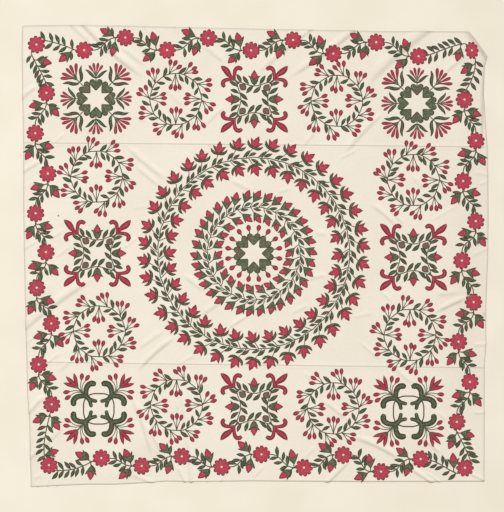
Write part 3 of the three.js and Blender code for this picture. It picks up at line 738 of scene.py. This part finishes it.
# Steps of the vine that differ, at the corners: how far the bud on each side leans (0 is no bud),
# stem leaves on each side, the share of the stem at which the buds grow, where the stem leaves its
# first rose and which way, and where it meets the next and which way. Left comes before right, as
# the vine grows.
CORNER_STEPS = {
    ("top", 0): ((70, 0), (4, 7), 0.08, 135, 186, 5, 197),
    ("top", 9): ((49, 0), (4, 5), 0.03, 178, 155, 33, 168),
    ("left", 0): ((66, 0), (4, 7), 0.18, 237, 287, 92, 284),
    ("right", 0): ((0, 48), (5, 4), 0.1, 292, 274, 86, 236),
    ("bottom", 0): ((0, 75), (5, 4), 0.1, 217, 162, 353, 170),
    ("bottom", 9): ((75, 34), (6, 5), 0.02, 199, 211, 322, 176),
    ("left", 9): ((32, 80), (4, 6), 0.02, 260, 256, 122, 276),
    ("right", 9): ((68, 36), (6, 4), 0.02, 268, 297, 46, 289),
}
MARGIN = 1.6  # sewn shapes stay this far inside the edges
EXTRA_BUD = (45, 454.5, 17)  # grows beside the lower left corner rose: across, down and heading


def inside_cloth(at):
    x, y = at.real + MIDDLE_X, MIDDLE_Y - at.imag
    across = read(LEFT_EDGE, y) + MARGIN < x < read(RIGHT_EDGE, y) - MARGIN
    return across and read(TOP_EDGE, x) + MARGIN < y < read(BOTTOM_EDGE, x) - MARGIN


def vine_step(block, start, end, leans, leaves, joint, ways):
    """The vine from one rose to the next: an S-shaped stem, its buds and their leaves."""
    chord = (end - start) / abs(end - start)
    out_of, leaving, into, meeting = ways
    start_at = start + out_of * (ROSE_EDGE + block.luck.uniform(0.6, 1.6))
    goal = end + into * ROSE_EDGE
    corner, joint = joint is not None, joint or 0
    pull = abs(goal - start_at) * (CORNER_PULL if corner else STEM_PULL)
    share = np.linspace(0, 1, 9)
    a, b, c, d = start_at, start_at + leaving * pull, goal - meeting * pull, goal
    curve = (a * (1 - share) ** 3 + 3 * b * share * (1 - share) ** 2
             + 3 * c * share ** 2 * (1 - share) + d * share ** 3)
    block.stem([start + out_of * (ROSE_EDGE - 1.5), *curve.tolist(), end + into * (ROSE_EDGE - 1.5)])
    root = complex(on_curve(curve, share, joint))
    for side, lean, count in zip((1, -1), leans, leaves):
        first = LEAVES_FROM
        if lean:
            first = joint + PAST_BUD
            lean += block.jitter(4)
            while lean > LEAST_LEAN and not inside_cloth(root + chord * way(side * lean) * BUD_REACH):
                lean -= 3
            heading = chord * way(side * lean)
            knee = root + heading * 1.5 + chord * 0.8
            foot = root + heading * (4 + block.jitter(0.4))
            block.stem([root - chord * 0.4, knee, foot + heading * 0.8])
            sew_pair(block, BUD_PAIR, foot, heading, 1.0 + block.jitter(0.04))
            outer = chord * way(side * (lean + 44 + block.jitter(8)))
            if inside_cloth(knee + outer * 10) and abs(knee + outer * 6 - start) > ROSE_EDGE + 2.5:
                sew_leaf(block, knee + heading * 0.8, outer, BUD_LEAF)
        last = (0.84 if count < 4 else 0.92) if corner else LEAVES_TO
        for at in np.linspace(first, last, count) + (0.03 if side < 0 else 0):
            at = min(at + block.jitter(0.02), 0.95)
            here, ahead = on_curve(curve, share, [at, at + 0.05]).tolist()
            lean = CORNER_LEAF_LEAN if corner else LEAF_LEAN
            heading = (ahead - here) / abs(ahead - here) * way(side * (lean + block.jitter(5)))
            sew_leaf(block, here + heading * 0.3, heading, VINE_LEAF)


def border():
    sewn = set()
    for side, roses in BORDER.items():
        block = Block("border", 0j, seed=side)
        main = GROWTH[side]
        plain_step = (BUD_LEAN, BUD_LEAN), (3, 3), None, (main, main, -main, main)
        for i, (x, y) in enumerate(roses):
            at = plan(x, y)
            if (x, y) not in sewn:
                sewn.add((x, y))
                heading = way(block.luck.uniform(0, 36))
                folded = (way(12), 0.75) if (side, i) == ("top", 0) else None
                work("border", "flowers").sew(ROSE, at, heading, 0.99, narrow=folded)
                work("border", "centres").sew(ROSE_CENTRE, at, heading, 1, narrow=folded)
            if i + 1 == len(roses):
                continue
            step = plain_step
            if (side, i) in CORNER_STEPS:
                leans, leaves, joint, *ways = CORNER_STEPS[side, i]
                step = leans, leaves, joint, [way(degrees) for degrees in ways]
            vine_step(block, at, plan(*roses[i + 1]), *step)

    x, y, heading = EXTRA_BUD
    root, heading = plan(x, y), way(heading)
    block = Block("border", 0j, seed="extra")
    block.stem([root, root + heading * 2], STALK_HALF)
    sew_pair(block, BUD_PAIR, root + heading, heading, 0.9)


def heart_ring(block, size=1.0):
    """Eight hearts with their points together, which leave a star between them."""
    for k in range(8):
        facing = way(90 - 45 * k)
        block.sew("leaves", HEART, facing * 7.8, facing, size)


FAN_PETAL = petal_shape(0.1, 0.285)
LONG_PETAL = petal_shape(0.1, 0.28)
CUP = patch(
    mirrored([(0, -0.6), (1.1, 1.2), (3.3, 5.2), (1.5, 3.6), (0, 3.4)]), 2j, SMALL_PATCH, lift=0.2)


def curved_leaf(points, width, height=0.85, fullest=0.44):
    """A leaf along a curve, widest at the share of its length named."""
    share = np.linspace(0, 1, 10)
    half = width / 2 * swelling(share, fullest) ** 0.7
    half[0], half[-1] = 0.25, 0
    return strip(through(as_places(points), 9), half, height)


SIDE_LEAF = curved_leaf(((0, 0), (2.2, 1.4), (5.4, 4.4), (8.6, 7.2), (11.6, 8)), 3.4)
WAVY_LEAF = curved_leaf(((0, 0), (-1.7, 2.4), (-2, 7), (-1.2, 12), (-2.8, 17.2)), 3.9)


def heart_block(centre):
    """A ring of hearts with fans of short and long petals by turns round it."""
    heart_ring(Block("heart_blocks", centre))
    for k in range(8):
        arm = Block("heart_blocks", centre, -45 * k, seed=k)
        if k % 2 == 0:
            arm.stem([17.4j, 20.4j, 25j], STALK_HALF * 1.2)
            arm.sew("leaves", CUP, 22.1j, 1j, 1.05)
            for angle in (-35, -12, 12, 35):
                heading = way(90 + angle + arm.jitter(3))
                arm.sew("flowers", FAN_PETAL, 23.4j + heading * 2.6, heading, 10.8 - abs(angle) / 40)
            for flip in (False, True):
                arm.sew("leaves", SIDE_LEAF, 20.4j, 1j * way(arm.jitter(4)), 1, flip)
        else:
            arm.stem([17.6j, 22j, 27.6j], STALK_HALF * 1.2)
            arm.sew("leaves", CUP, 26.4j, 1j, 1.35)
            for angle in (-45, -23, 0, 23, 45):
                heading = way(90 + angle + arm.jitter(2))
                arm.sew("flowers", LONG_PETAL, 28.2j + heading * 3, heading, 11.8 + abs(angle) / 36)
            for flip in (False, True):
                side = -1 if flip else 1
                arm.sew("leaves", WAVY_LEAF, 23j, way(90 + 43 * side + arm.jitter(3)), 1, flip)


WREATH_RING = 25.9
WREATH_BUD = 7.5  # length


def trio(block, root, heading, reach, spread):
    """Three buds on stalks from one root."""
    for k in (-1, 0, 1):
        out = heading * way(k * spread + block.jitter(2.5))
        far = reach + (0.5 if k == 0 else 0) + block.jitter(0.4)
        foot = root + out * (far - WREATH_BUD)
        bow = out * 1j * 0.35 * k
        block.stem([root, root + out * (far - WREATH_BUD) * 0.5 - bow, foot + out * 0.6], STALK_HALF)
        block.sew("flowers", DROP, foot, out, WREATH_BUD * (1 + block.jitter(0.03)))


def bud_wreath(centre, clockwise):
    """A stem ring with ten clusters of buds outside and four inside, all leaning one way."""
    block = Block("bud_wreaths", centre, flip=not clockwise, seed=f"{centre}")
    roots = []
    for k in range(10):
        angle = 107 - 36 * k + block.jitter(2)
        root = way(angle) * (WREATH_RING + block.jitter(0.4))
        roots.append((angle, root))
        trio(block, root, way(angle - 43 + block.jitter(4)), 15.8, 22)
        angle += 13 + block.jitter(2)
        at = way(angle) * (WREATH_RING - 0.3)
        roots.append((angle, at))
        sew_leaf(block, at, way(angle - 45), 10.4)
    for quarter in range(4):
        base = 90 * quarter
        trio(block, way(base) * (WREATH_RING - 0.4), -way(base + block.jitter(3)), 17.6, 19)
        for angle in (29, 49, 67, 82):
            angle = base + angle + block.jitter(2)
            sew_leaf(block, way(angle) * (WREATH_RING - 0.6), way(angle - 141), 9.6)
    ring = [root for _, root in sorted(roots, key=lambda pair: pair[0])]
    block.stem(ring + ring[:1], STEM_HALF * 0.9)


LILY_PETAL = curved_leaf(((0, -0.6), (0.6, 5), (-0.5, 11), (0, 18)), 6.6, 0.95, 0.56)


def curl_shape(points, root, width):
    """A curled petal or scroll, fuller towards its end, which is round."""
    share = np.linspace(0, 1, 13)
    half = root / 2 + (width - root) / 2 * smooth(share / 0.8)
    fall = np.clip((share - 0.86) / 0.14, 0, 1)
    return strip(through(as_places(points), 12), half * np.sqrt(1 - fall ** 2), 0.95)


LILY_CURL = curl_shape(
    ((0, -0.2), (1.9, 1.9), (4.2, 3.8), (7.6, 5.8), (10.8, 5.3), (12, 2.7), (10.8, 0.9)), 3.2, 4.7)
ROUND_LEAF = patch(
    rounded(mirrored([(0, -0.6), (1.8, 1), (4, 3.8), (3.8, 6.6), (1.8, 8.6), (0, 9.4)])),
    4.8j, MIDDLE_PATCH)
SIDE_BUD = patch(
    rounded(mirrored([(0, 5), (2.6, 6), (3.2, 8.3), (1.6, 10.9), (0, 13.6)])), 8.4j, SMALL_PATCH)
SIDE_CUP = patch(
    mirrored([(0, -0.2), (2, 1.2), (3.3, 3.6), (3.9, 6.2), (5.8, 8.8), (3.4, 8.2), (1.8, 6.4), (0, 5.8)]),
    3.6j, SMALL_PATCH, lift=0.2)
LILY_AT, CURLS_AT = 20.9 + 20.9j, 20.1 + 20.1j  # where a lily's middle petal and its curls grow
LILY_LEAF = 10.9
# One side of the wavy square
LILY_SQUARE = (17.6 + 17.6j, 12 + 16.4j, 5 + 14j, 13.4j, -5 + 14j, -12 + 16.4j, -17.6 + 17.6j)


def lily_block(centre):
    """A wavy square of stem with four lilies at its corners and buds at its sides."""
    for quarter in range(4):
        side = Block("lily_blocks", centre, 90 * quarter, seed=f"0{quarter}")
        side.stem(LILY_SQUARE, STEM_HALF * 0.9)
        side.stem([15.4 + 15.4j, 21 + 21j], STEM_HALF * 1.9, STEM_HALF * 1.5)
        out = way(45)
        side.sew("flowers", LILY_PETAL, LILY_AT, out, 1, side.luck.random() < 0.5)
        for flip in (False, True):
            side.sew("flowers", LILY_CURL, CURLS_AT, out, 1, flip)
        side.sew("leaves", SIDE_CUP, 14.1j, 1j, 1.1)
        side.sew("flowers", SIDE_BUD, 14.1j, 1j, 1.16)
        side.sew("brown_leaves", ROUND_LEAF, 14.8 + 14.8j, -out * way(side.jitter(8)), 0.88)
        for x, lean in ((-13, 28), (-5.2, 40), (5.4, -28), (12.4, -24)):
            at = complex(x, 14 + abs(x) * 0.17)
            sew_leaf(side, at, way(90 + lean + side.jitter(5)), LILY_LEAF)
        for x in (-0.6, 6.8):
            sew_leaf(side, complex(x, 13.8), way(225 + side.jitter(5)), LILY_LEAF)


SCROLL_ARM = curl_shape(
    ((0, 18.4), (2.6, 20.8), (5.6, 23.1), (9.9, 24.2), (13.7, 22.3), (14, 18.4)), 5.2, 6.2)
SCROLL_FORK = curl_shape(((0, 19.6), (0, 15.2), (0.8, 11.8), (4.3, 5.9)), 5.6, 3.9)
TULIP_PETAL = petal_shape(0.2, 0.29, 0.55, True)
SCROLL_STALKS = (
    ((0.3, 24.6), (3.3, 29.2), (8.1, 32.6)), ((0.2, 22.6), (2.7, 26.2), (6.2, 28.5), (10.5, 29.2)))


def scroll_block(centre):
    """Four curled scrolls joined by a thin ring, each with a tulip and small buds."""
    for quarter in range(4):
        corner = Block("scroll_blocks", centre, 90 * quarter - 45, seed=f"0{quarter}")
        for flip in (False, True):
            side = -1 if flip else 1
            corner.sew("leaves", SCROLL_ARM, 0, 1j, 1, flip)
            corner.sew("leaves", SCROLL_FORK, 0, 1j, 1, flip)
            for curve in SCROLL_STALKS:
                curve = [complex(side * x, y) for x, y in curve]
                corner.stem(curve, STALK_HALF)
                heading = (curve[-1] - curve[-2]) * way(side * corner.luck.uniform(0, 8))
                corner.sew("flowers", DROP, curve[-1] - heading / abs(heading) * 0.6, heading, 7.8)
        corner.stem([18j, 24j, 31.4j], STEM_HALF * 1.5, STEM_HALF * 1.1)
        corner.sew("leaves", CUP, 28.8j, 1j, 1)
        for angle, long in ((-31, 14.4), (-1, 15.6), (29, 14.4)):
            heading = way(90 + angle + corner.jitter(3))
            corner.sew("flowers", TULIP_PETAL, 30.2j + heading * 0.8, heading, long)
        ring = [way(90 - a) * r for a, r in ((6, 17.2), (25, 16), (45, 15.2), (65, 16), (84, 17.2))]
        corner.stem(ring, STEM_HALF * 1.15, kind="brown_leaves")


INNER_RING = 46.5
OUTER_RING = 95.8


def vine_ring(block, radius, wobble, nodes):
    ring = [way(-360 * k / nodes) * (radius + wobble * (k % 2 - 0.5)) for k in range(nodes)]
    block.stem(ring + ring[:1], STEM_HALF * 0.9)


def growth(block, count, ring, pair, size, stalk, uneven, leaves):
    """Stalks round a vine ring, each with a pair of shapes at its end, and leaves between them.

    A stalk is where it leaves the vine, in degrees on from its end, how far out it ends, its bow,
    its heading in degrees from outward, and its reach into the shape. Uneven are the degrees by
    which its place and its heading may differ. A leaf is its place, in degrees on and far out, its
    heading and its length."""
    on, out, bow, lean, reach = stalk
    for k in range(count):
        angle = 90 - 360 * k / count + block.jitter(uneven[0])
        root, foot = way(angle + on) * ring, way(angle) * out
        heading = way(angle + lean + block.jitter(uneven[1]))
        block.stem([root, (root + foot) / 2 + way(angle) * bow, foot + heading * reach], STALK_HALF)
        sew_pair(block, pair, foot, heading, size)
        for further, far, turned, long in leaves:
            sew_leaf(block, way(angle + further) * far, way(angle + turned), long)


def medallion(centre):
    """A ring of hearts in two rings of vine, the inner one with buds and the outer with tulips."""
    block = Block("medallion", centre)
    heart_ring(block, 1.04)
    for k in range(16):
        out = way(90 - 22.5 * k - 11.25)
        block.stem([19 * out, 23 * out])
        block.sew("flowers", BEAD, 22.2 * out, out, 7.2)
    vine_ring(block, INNER_RING, 0.8, 68)
    vine_ring(block, OUTER_RING, 0.7, 76)
    growth(block, 34, INNER_RING, BUD_PAIR, 0.91, (4, 51.6, 0.5, -32, 0.6), (0.8, 3),
           ((1.6, 47.8, -72, 8.4),))
    growth(block, 22, INNER_RING, BUD_PAIR, 0.86, (4, 41, -0.4, 216, 0.6), (1, 3),
           ((1, 44.8, -100, 8.6),))
    growth(block, 38, OUTER_RING, TULIP_PAIR, 0.88, (4.6, 106.2, 0.4, -27, 1), (0.5, 4),
           ((3.2, 97, -66, 8.9), (6.6, 96.6, -48, 9.7)))
    growth(block, 32, OUTER_RING, TULIP_PAIR, 0.86, (3.4, 87.6, -0.4, 205, 1), (0.6, 4),
           ((2, 94.6, -108, 8.9), (7.8, 94.8, -116, 8.2)))


HEART_BLOCKS = ((96, 98.7), (417, 103.5))
LILY_BLOCKS = ((254.3, 99.3), (97.3, 253.3), (413.3, 257.3), (254, 406.7))
SCROLL_BLOCKS = ((98.8, 408.8), (408.6, 411.3))
# Middle of each bud wreath, and whether its buds lean clockwise
WREATHS = (
    (175.6, 99.1, True), (337, 101, False), (96.7, 176.7, True), (413.3, 180, True),
    (99.2, 331.2, False), (410, 335, True), (176.7, 405, False), (333.3, 408.3, False),
)

border()
for make_block, middles in (
        (heart_block, HEART_BLOCKS), (lily_block, LILY_BLOCKS), (scroll_block, SCROLL_BLOCKS)):
    for x, y in middles:
        make_block(plan(x, y))
for x, y, clockwise in WREATHS:
    bud_wreath(plan(x, y), clockwise)
medallion(plan(253.7, 253.4))


# Sewing
STITCH_APART = 0.0046
STITCH_LONG = 0.0030
STITCH_HALF = 0.00035  # half-width


def stitch_shape():
    """One small stitch along +y, in plan units and millimetres."""
    share = np.linspace(0, 1, 5)
    half = np.array([0, 0.8, 1, 0.8, 0]) * STITCH_HALF / UNIT
    return strip(1j * (share - 0.5) * STITCH_LONG / UNIT, half, 0.35, THIN_SECTION)


STITCH = stitch_shape()


def stitch_line(name, points, slant):
    """Stitches along a line of plan places."""
    sewn = Patchwork(name, "sewing_thread", "sewing_thread")
    points = np.asarray(points, complex)
    run = run_along(points)
    for at in np.arange(STITCH_APART / UNIT, run[-1], STITCH_APART / UNIT):
        here, ahead = on_curve(points, run, [at, at + 0.3]).tolist()
        if abs(ahead - here) > 1e-6:
            sewn.sew(STITCH, here, (ahead - here) * way(slant + sewn.luck.uniform(-6, 6)))
    works[name] = sewn


def line_of(line, sideways, inset, ends):
    """An edge or seam as plan places, moved inward and cut short at its ends."""
    at = np.linspace(line[0][0] + ends[0], line[-1][0] - ends[1], 200)
    beside = read(line, at) + inset
    x, y = (beside, at) if sideways else (at, beside)
    return [plan(a, b) for a, b in zip(x, y)]


HEM_IN = 0.0070 / UNIT  # how far in from the edge the hem is stitched
for name, line, sideways, inset, ends, slant in (
        ("hem_stitches_top", TOP_EDGE[:11], False, HEM_IN, (HEM_IN, 1), 0),
        ("hem_stitches_left", LEFT_EDGE, True, HEM_IN, (HEM_IN, HEM_IN), 0),
        ("hem_stitches_right", RIGHT_EDGE, True, -HEM_IN, (1, HEM_IN), 0),
        ("hem_stitches_bottom", BOTTOM_EDGE, False, -HEM_IN, (HEM_IN, HEM_IN), 0),
        ("seam_stitches_upper", UPPER_SEAM, False, 0, (1, 1), 60),
        ("seam_stitches_lower", LOWER_SEAM, False, 0, (1, 1), 60)):
    stitch_line(name, line_of(line, sideways, inset, ends), slant)

for name, sewn in works.items():
    pieces[name] = sewn.make()


# Cottons
def ink(red, green, blue):
    """A colour seen as these 0 to 255 values, as light."""
    def light(value):
        value /= 255
        return value / 12.92 if value <= 0.04045 else ((value + 0.055) / 1.055) ** 2.4
    return (light(red), light(green), light(blue), 1)


def new_group(name, inputs, outputs):
    tree = bpy.data.node_groups.new(name, "ShaderNodeTree")
    for label, kind, value in inputs:
        socket = tree.interface.new_socket(label, in_out="INPUT", socket_type=kind)
        if value is not None:
            socket.default_value = value
    for label, kind in outputs:
        tree.interface.new_socket(label, in_out="OUTPUT", socket_type=kind)
    return tree, tree.nodes.new("NodeGroupInput").outputs, tree.nodes.new("NodeGroupOutput").inputs


def put(tree, kind, inputs=None, **values):
    """Adds a node. Values name its properties, and inputs are named by their label or number."""
    node = tree.nodes.new(kind)
    for key, value in values.items():
        setattr(node, key, value)
    for key, value in (inputs or {}).items():
        if hasattr(value, "is_output"):
            tree.links.new(value, node.inputs[key])
        else:
            node.inputs[key].default_value = value
    return node


def maths(tree, operation, a, b=0.0, clamp=False):
    node = put(tree, "ShaderNodeMath", {0: a, 1: b}, operation=operation, use_clamp=clamp)
    return node.outputs[0]


def times(tree, a, b):
    return maths(tree, "MULTIPLY", a, b)


def mixed(tree, share, a, b):
    """Colour a, with a share of colour b."""
    return put(tree, "ShaderNodeMix", {0: share, 6: a, 7: b}, data_type="RGBA").outputs[2]


def ranged(tree, value, low, high, to_low=0.0, to_high=1.0):
    return put(tree, "ShaderNodeMapRange", {0: value, 1: low, 2: high, 3: to_low, 4: to_high}).outputs[0]


def noise(tree, vector, scale, detail=2.0, rough=0.5):
    return put(tree, "ShaderNodeTexNoise", {
        "Vector": vector, "Scale": scale, "Detail": detail, "Roughness": rough}).outputs[0]


def weave_group():
    """A plain weave: threads over and under each other, each of uneven thickness."""
    tree, given, target = new_group(
        "plain_weave",
        [("Vector", "NodeSocketVector", None), ("Threads", "NodeSocketFloat", 1400.0)],
        [("Height", "NodeSocketFloat"), ("Slub", "NodeSocketFloat")])
    split = put(tree, "ShaderNodeSeparateXYZ", {0: given["Vector"]})
    waves = []
    for axis in (0, 1):
        turns = times(tree, split.outputs[axis], given["Threads"])
        waves.append(maths(tree, "SINE", times(tree, turns, math.pi)))
    over = maths(tree, "GREATER_THAN", times(tree, *waves), 0.0)
    warp, weft = (maths(tree, "ABSOLUTE", wave) for wave in waves)
    gap = maths(tree, "SUBTRACT", warp, weft)
    height = maths(tree, "ADD", weft, times(tree, gap, over))
    streaks = []
    for stretch in ((18, 900, 1), (900, 18, 1)):
        long = put(tree, "ShaderNodeMapping", {"Vector": given["Vector"], "Scale": stretch})
        streaks.append(noise(tree, long.outputs[0], 1.0, 1.0))
    slub = times(tree, maths(tree, "ADD", *streaks), 0.5)
    tree.links.new(maths(tree, "ADD", height, times(tree, slub, 1.4)), target["Height"])
    tree.links.new(slub, target["Slub"])
    return tree


def aged_group():
    """Uneven washing and age: soft patches, lighter and darker by Amount."""
    tree, given, target = new_group(
        "aged_cotton",
        [("Vector", "NodeSocketVector", None), ("Colour", "NodeSocketColor", (1, 1, 1, 1)),
         ("Yellowed", "NodeSocketColor", (1, 1, 1, 1)), ("Amount", "NodeSocketFloat", 0.3)],
        [("Colour", "NodeSocketColor")])
    broad = noise(tree, given["Vector"], 2.6, 3.0, 0.6)
    fine = noise(tree, given["Vector"], 60.0, 3.0, 0.65)
    both = maths(tree, "ADD", times(tree, broad, 0.62), times(tree, fine, 0.38))
    share = times(tree, ranged(tree, both, 0.34, 0.66), given["Amount"])
    result = mixed(tree, share, given["Colour"], given["Yellowed"])
    tree.links.new(result, target["Colour"])
    return tree


def print_group():
    """A small all-over print: flecks of a second colour, broken and uneven."""
    tree, given, target = new_group(
        "small_print",
        [("Vector", "NodeSocketVector", None), ("Scale", "NodeSocketFloat", 320.0),
         ("Cover", "NodeSocketFloat", 0.4)],
        [("Flecks", "NodeSocketFloat"), ("Patches", "NodeSocketFloat")])
    cells = put(tree, "ShaderNodeTexVoronoi", {
        "Vector": given["Vector"], "Scale": given["Scale"]})
    broken = noise(tree, given["Vector"], 420.0, 1.0)
    edge = maths(tree, "ADD", cells.outputs["Distance"], times(tree, broken, 0.35))
    low = maths(tree, "ADD", given["Cover"], 0.05)
    high = maths(tree, "ADD", given["Cover"], 0.25)
    flecks = maths(tree, "SUBTRACT", 1.0, ranged(tree, edge, low, high))
    tree.links.new(flecks, target["Flecks"])
    patches = noise(tree, given["Vector"], 110.0, 2.0, 0.6)
    tree.links.new(ranged(tree, patches, 0.36, 0.64), target["Patches"])
    return tree


WEAVE, AGED, PRINT = weave_group(), aged_group(), print_group()


def placed_group(tree, group, inputs):
    """A shared node group, placed in a material."""
    return put(tree, "ShaderNodeGroup", inputs, node_tree=group)


def attribute(tree, name, output):
    return put(tree, "ShaderNodeAttribute", attribute_name=name).outputs[output]


def new_material(name, roughness, gloss):
    material = bpy.data.materials.new(name)
    material.use_nodes = True
    tree = material.node_tree
    shader = tree.nodes["Principled BSDF"]
    shader.inputs["Roughness"].default_value = roughness
    shader.inputs["Specular IOR Level"].default_value = gloss
    return material, tree, shader


def new_cotton(name, roughness, sheen):
    material, tree, shader = new_material(name, roughness, 0.18)
    shader.inputs["Sheen Weight"].default_value = sheen
    shader.inputs["Sheen Roughness"].default_value = 0.5
    return material, tree, shader


def weave_bump(tree, shader, vector, threads, strength):
    woven = placed_group(tree, WEAVE, {"Vector": vector, "Threads": threads})
    bump = put(tree, "ShaderNodeBump", {
        "Strength": strength, "Distance": 0.0002, "Height": woven.outputs["Height"]})
    tree.links.new(bump.outputs[0], shader.inputs["Normal"])
    return woven.outputs["Slub"]


def ground_cotton():
    """Cream ground cloth, a little yellowed, with two small marks, darkened by soiling and by painted
    shade.
    """
    material, tree, shader = new_cotton("ground_cotton", 0.92, 0.08)
    place = put(tree, "ShaderNodeTexCoord").outputs["Object"]
    slub = weave_bump(tree, shader, place, 1300.0, 0.35)
    aged = placed_group(tree, AGED, {
        "Vector": place, "Colour": GROUND, "Yellowed": GROUND_AGED, "Amount": 1.0})
    thin = ranged(tree, slub, 0.3, 0.7, 0.05, 0.0)
    colour = mixed(tree, thin, aged.outputs["Colour"], GROUND_THREAD)
    # Darkening by the rim attribute: soiling at the edges, seams and folds, and painted shade at the
    # edges, along the folds and at the turned-under corner
    soiled_and_shaded = ranged(tree, attribute(tree, "rim", "Fac"), 0.0, 1.0, 0.0, 0.6)
    colour = mixed(tree, soiled_and_shaded, colour, SOIL_AND_SHADE)
    for x, y, radius, tint, strength in MARKS:
        middle = (*to_metres(x, y), CLOTH_TOP)
        far = put(tree, "ShaderNodeVectorMath", {0: place, 1: middle}, operation="DISTANCE")
        spot = ranged(tree, far.outputs["Value"], radius * 0.5, radius, strength, 0.0)
        colour = mixed(tree, spot, colour, tint)
    tree.links.new(colour, shader.inputs["Base Color"])
    return material


def print_cotton(name, light, dark, other, edge, fleck, shown):
    """Printed cotton of the sewn-on shapes: two tones, a small print, and a darker turned edge, partly
    wear and partly painted shade.
    """
    material, tree, shader = new_cotton(name, 0.88, 0.1)
    place = attribute(tree, "grain", "Vector")
    slub = weave_bump(tree, shader, place, 1500.0, 0.3)
    printed = placed_group(tree, PRINT, {"Vector": place, "Scale": 118.0, "Cover": 0.34})
    tone = attribute(tree, "tone", "Fac")
    colour = mixed(tree, ranged(tree, slub, 0.3, 0.7), light, dark)
    patches = times(tree, printed.outputs["Patches"], 0.9)
    toned = maths(tree, "ADD", patches, ranged(tree, tone, 0.0, 1.0, -0.4, 0.15), True)
    colour = mixed(tree, toned, colour, other)
    colour = mixed(tree, times(tree, printed.outputs["Flecks"], shown), colour, fleck)
    # Darker towards the outline: partly wear, partly painted shade of the turned-under edge
    rim = ranged(tree, attribute(tree, "rim", "Fac"), 0.12, 0.72, 0.0, 0.92)
    tree.links.new(mixed(tree, rim, colour, edge), shader.inputs["Base Color"])
    return material


def plain_cotton(name, light, dark, threads):
    material, tree, shader = new_cotton(name, 0.9, 0.08)
    place = attribute(tree, "grain", "Vector")
    slub = weave_bump(tree, shader, place, threads, 0.3)
    tone = attribute(tree, "tone", "Fac")
    share = maths(tree, "ADD", times(tree, slub, 0.5), times(tree, tone, 0.5))
    tree.links.new(mixed(tree, share, light, dark), shader.inputs["Base Color"])
    return material


GROUND = ink(243, 235, 220)
GROUND_AGED = ink(237, 227, 209)
GROUND_THREAD = ink(196, 182, 156)
# Darker colour for soiling and painted shade, mixed in by the rim attribute
SOIL_AND_SHADE = ink(176, 158, 136)
# Marks on the ground cloth: place on the plan, radius in metres, colour, strength
MARKS = ((58.4, 215.7, 0.006, ink(120, 100, 80), 0.9), (483.6, 314, 0.012, ink(215, 190, 150), 0.6))
# Printed cottons: light and dark of the weave, tone of its patches, turned edge (darker, partly
# wear and partly painted shade), flecks of the print, and how strongly these show
PRINTS = {
    "crimson_cotton": (
        (198, 68, 86), (174, 54, 72), (162, 70, 80), (118, 40, 50), (222, 118, 126), 0.4),
    "green_print_cotton": (
        (86, 110, 78), (62, 81, 57), (114, 91, 77), (54, 59, 43), (138, 146, 118), 0.75),
    "brown_print_cotton": (
        (124, 100, 88), (112, 90, 78), (112, 96, 78), (74, 58, 48), (144, 124, 108), 0.6),
}
# Plain cottons: light and dark of the weave, and threads to a metre
PLAINS = {
    "stem_cotton": ((92, 96, 72), (92, 80, 64), 1500.0),
    "cream_cotton": ((240, 214, 196), (228, 190, 176), 1400.0),
    "sewing_thread": ((214, 204, 184), (200, 188, 166), 4000.0),
}
COTTON = {"ground_cotton": ground_cotton()}
for make_cotton, looks in ((print_cotton, PRINTS), (plain_cotton, PLAINS)):
    for name, (*inks, last) in looks.items():
        COTTON[name] = make_cotton(name, *(ink(*colour) for colour in inks), last)

for length in LENGTHS:
    piece = pieces[length.name]
    piece.data.materials.append(COTTON["ground_cotton"])
    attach(piece, "root")
    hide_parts(length.name.replace("length", "panel"))
for name, sewn in works.items():
    pieces[name].data.materials.append(COTTON[sewn.cotton])
    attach(pieces[name], "root")


# Floor, light and camera
def floor():
    bm = bmesh.new()
    bmesh.ops.create_grid(bm, x_segments=1, y_segments=1, size=9)
    piece = object_of("floor", bm)
    material, tree, shader = new_material("pale_floor", 0.95, 0.1)
    place = put(tree, "ShaderNodeTexCoord").outputs["Object"]
    share = ranged(tree, noise(tree, place, 3.0, 2.0), 0.35, 0.65)
    colour = mixed(tree, share, ink(244, 236, 217), ink(240, 231, 211))
    tree.links.new(colour, shader.inputs["Base Color"])
    piece.data.materials.append(material)


CAMERA_AT = (-0.0161, -0.0003, 7.0)
VIEW_DEEP = 512 * UNIT  # what the picture's longer side takes in at the surface
SENSOR = 36.0
KEY_WAY = (-44, 0, -10)  # tilt from straight down and turn, in degrees
KEY_STRENGTH = 2.05
KEY_SOFT = 10
FILL_PLACE = (-2.6, 0.5, 5.6)
FILL_STRENGTH = 54
FILL_WIDE = 2.0
SKY = (1.0, 0.995, 0.985, 1)
SKY_STRENGTH = 0.425

floor()
key = new_object("key_light", bpy.data.lights.new("key_light", "SUN"))
key.data.energy = KEY_STRENGTH
key.data.angle = math.radians(KEY_SOFT)
key.rotation_euler = [math.radians(a) for a in KEY_WAY]
fill = new_object("fill_light", bpy.data.lights.new("fill_light", "AREA"))
fill.data.energy = FILL_STRENGTH
fill.data.size = FILL_WIDE
fill.location = FILL_PLACE
fill.rotation_euler = Vector(FILL_PLACE).to_track_quat("Z", "Y").to_euler()
world = bpy.data.worlds.new("studio")
world.use_nodes = True
background = world.node_tree.nodes["Background"]
background.inputs["Color"].default_value = SKY
background.inputs["Strength"].default_value = SKY_STRENGTH
bpy.context.scene.world = world
bpy.context.scene.view_settings.view_transform = "Standard"

camera = new_object("camera", bpy.data.cameras.new("camera"))
camera.location = CAMERA_AT
camera.data.sensor_width = SENSOR
camera.data.lens = SENSOR * CAMERA_AT[2] / VIEW_DEEP
camera.data.clip_end = 50
bpy.context.scene.camera = camera
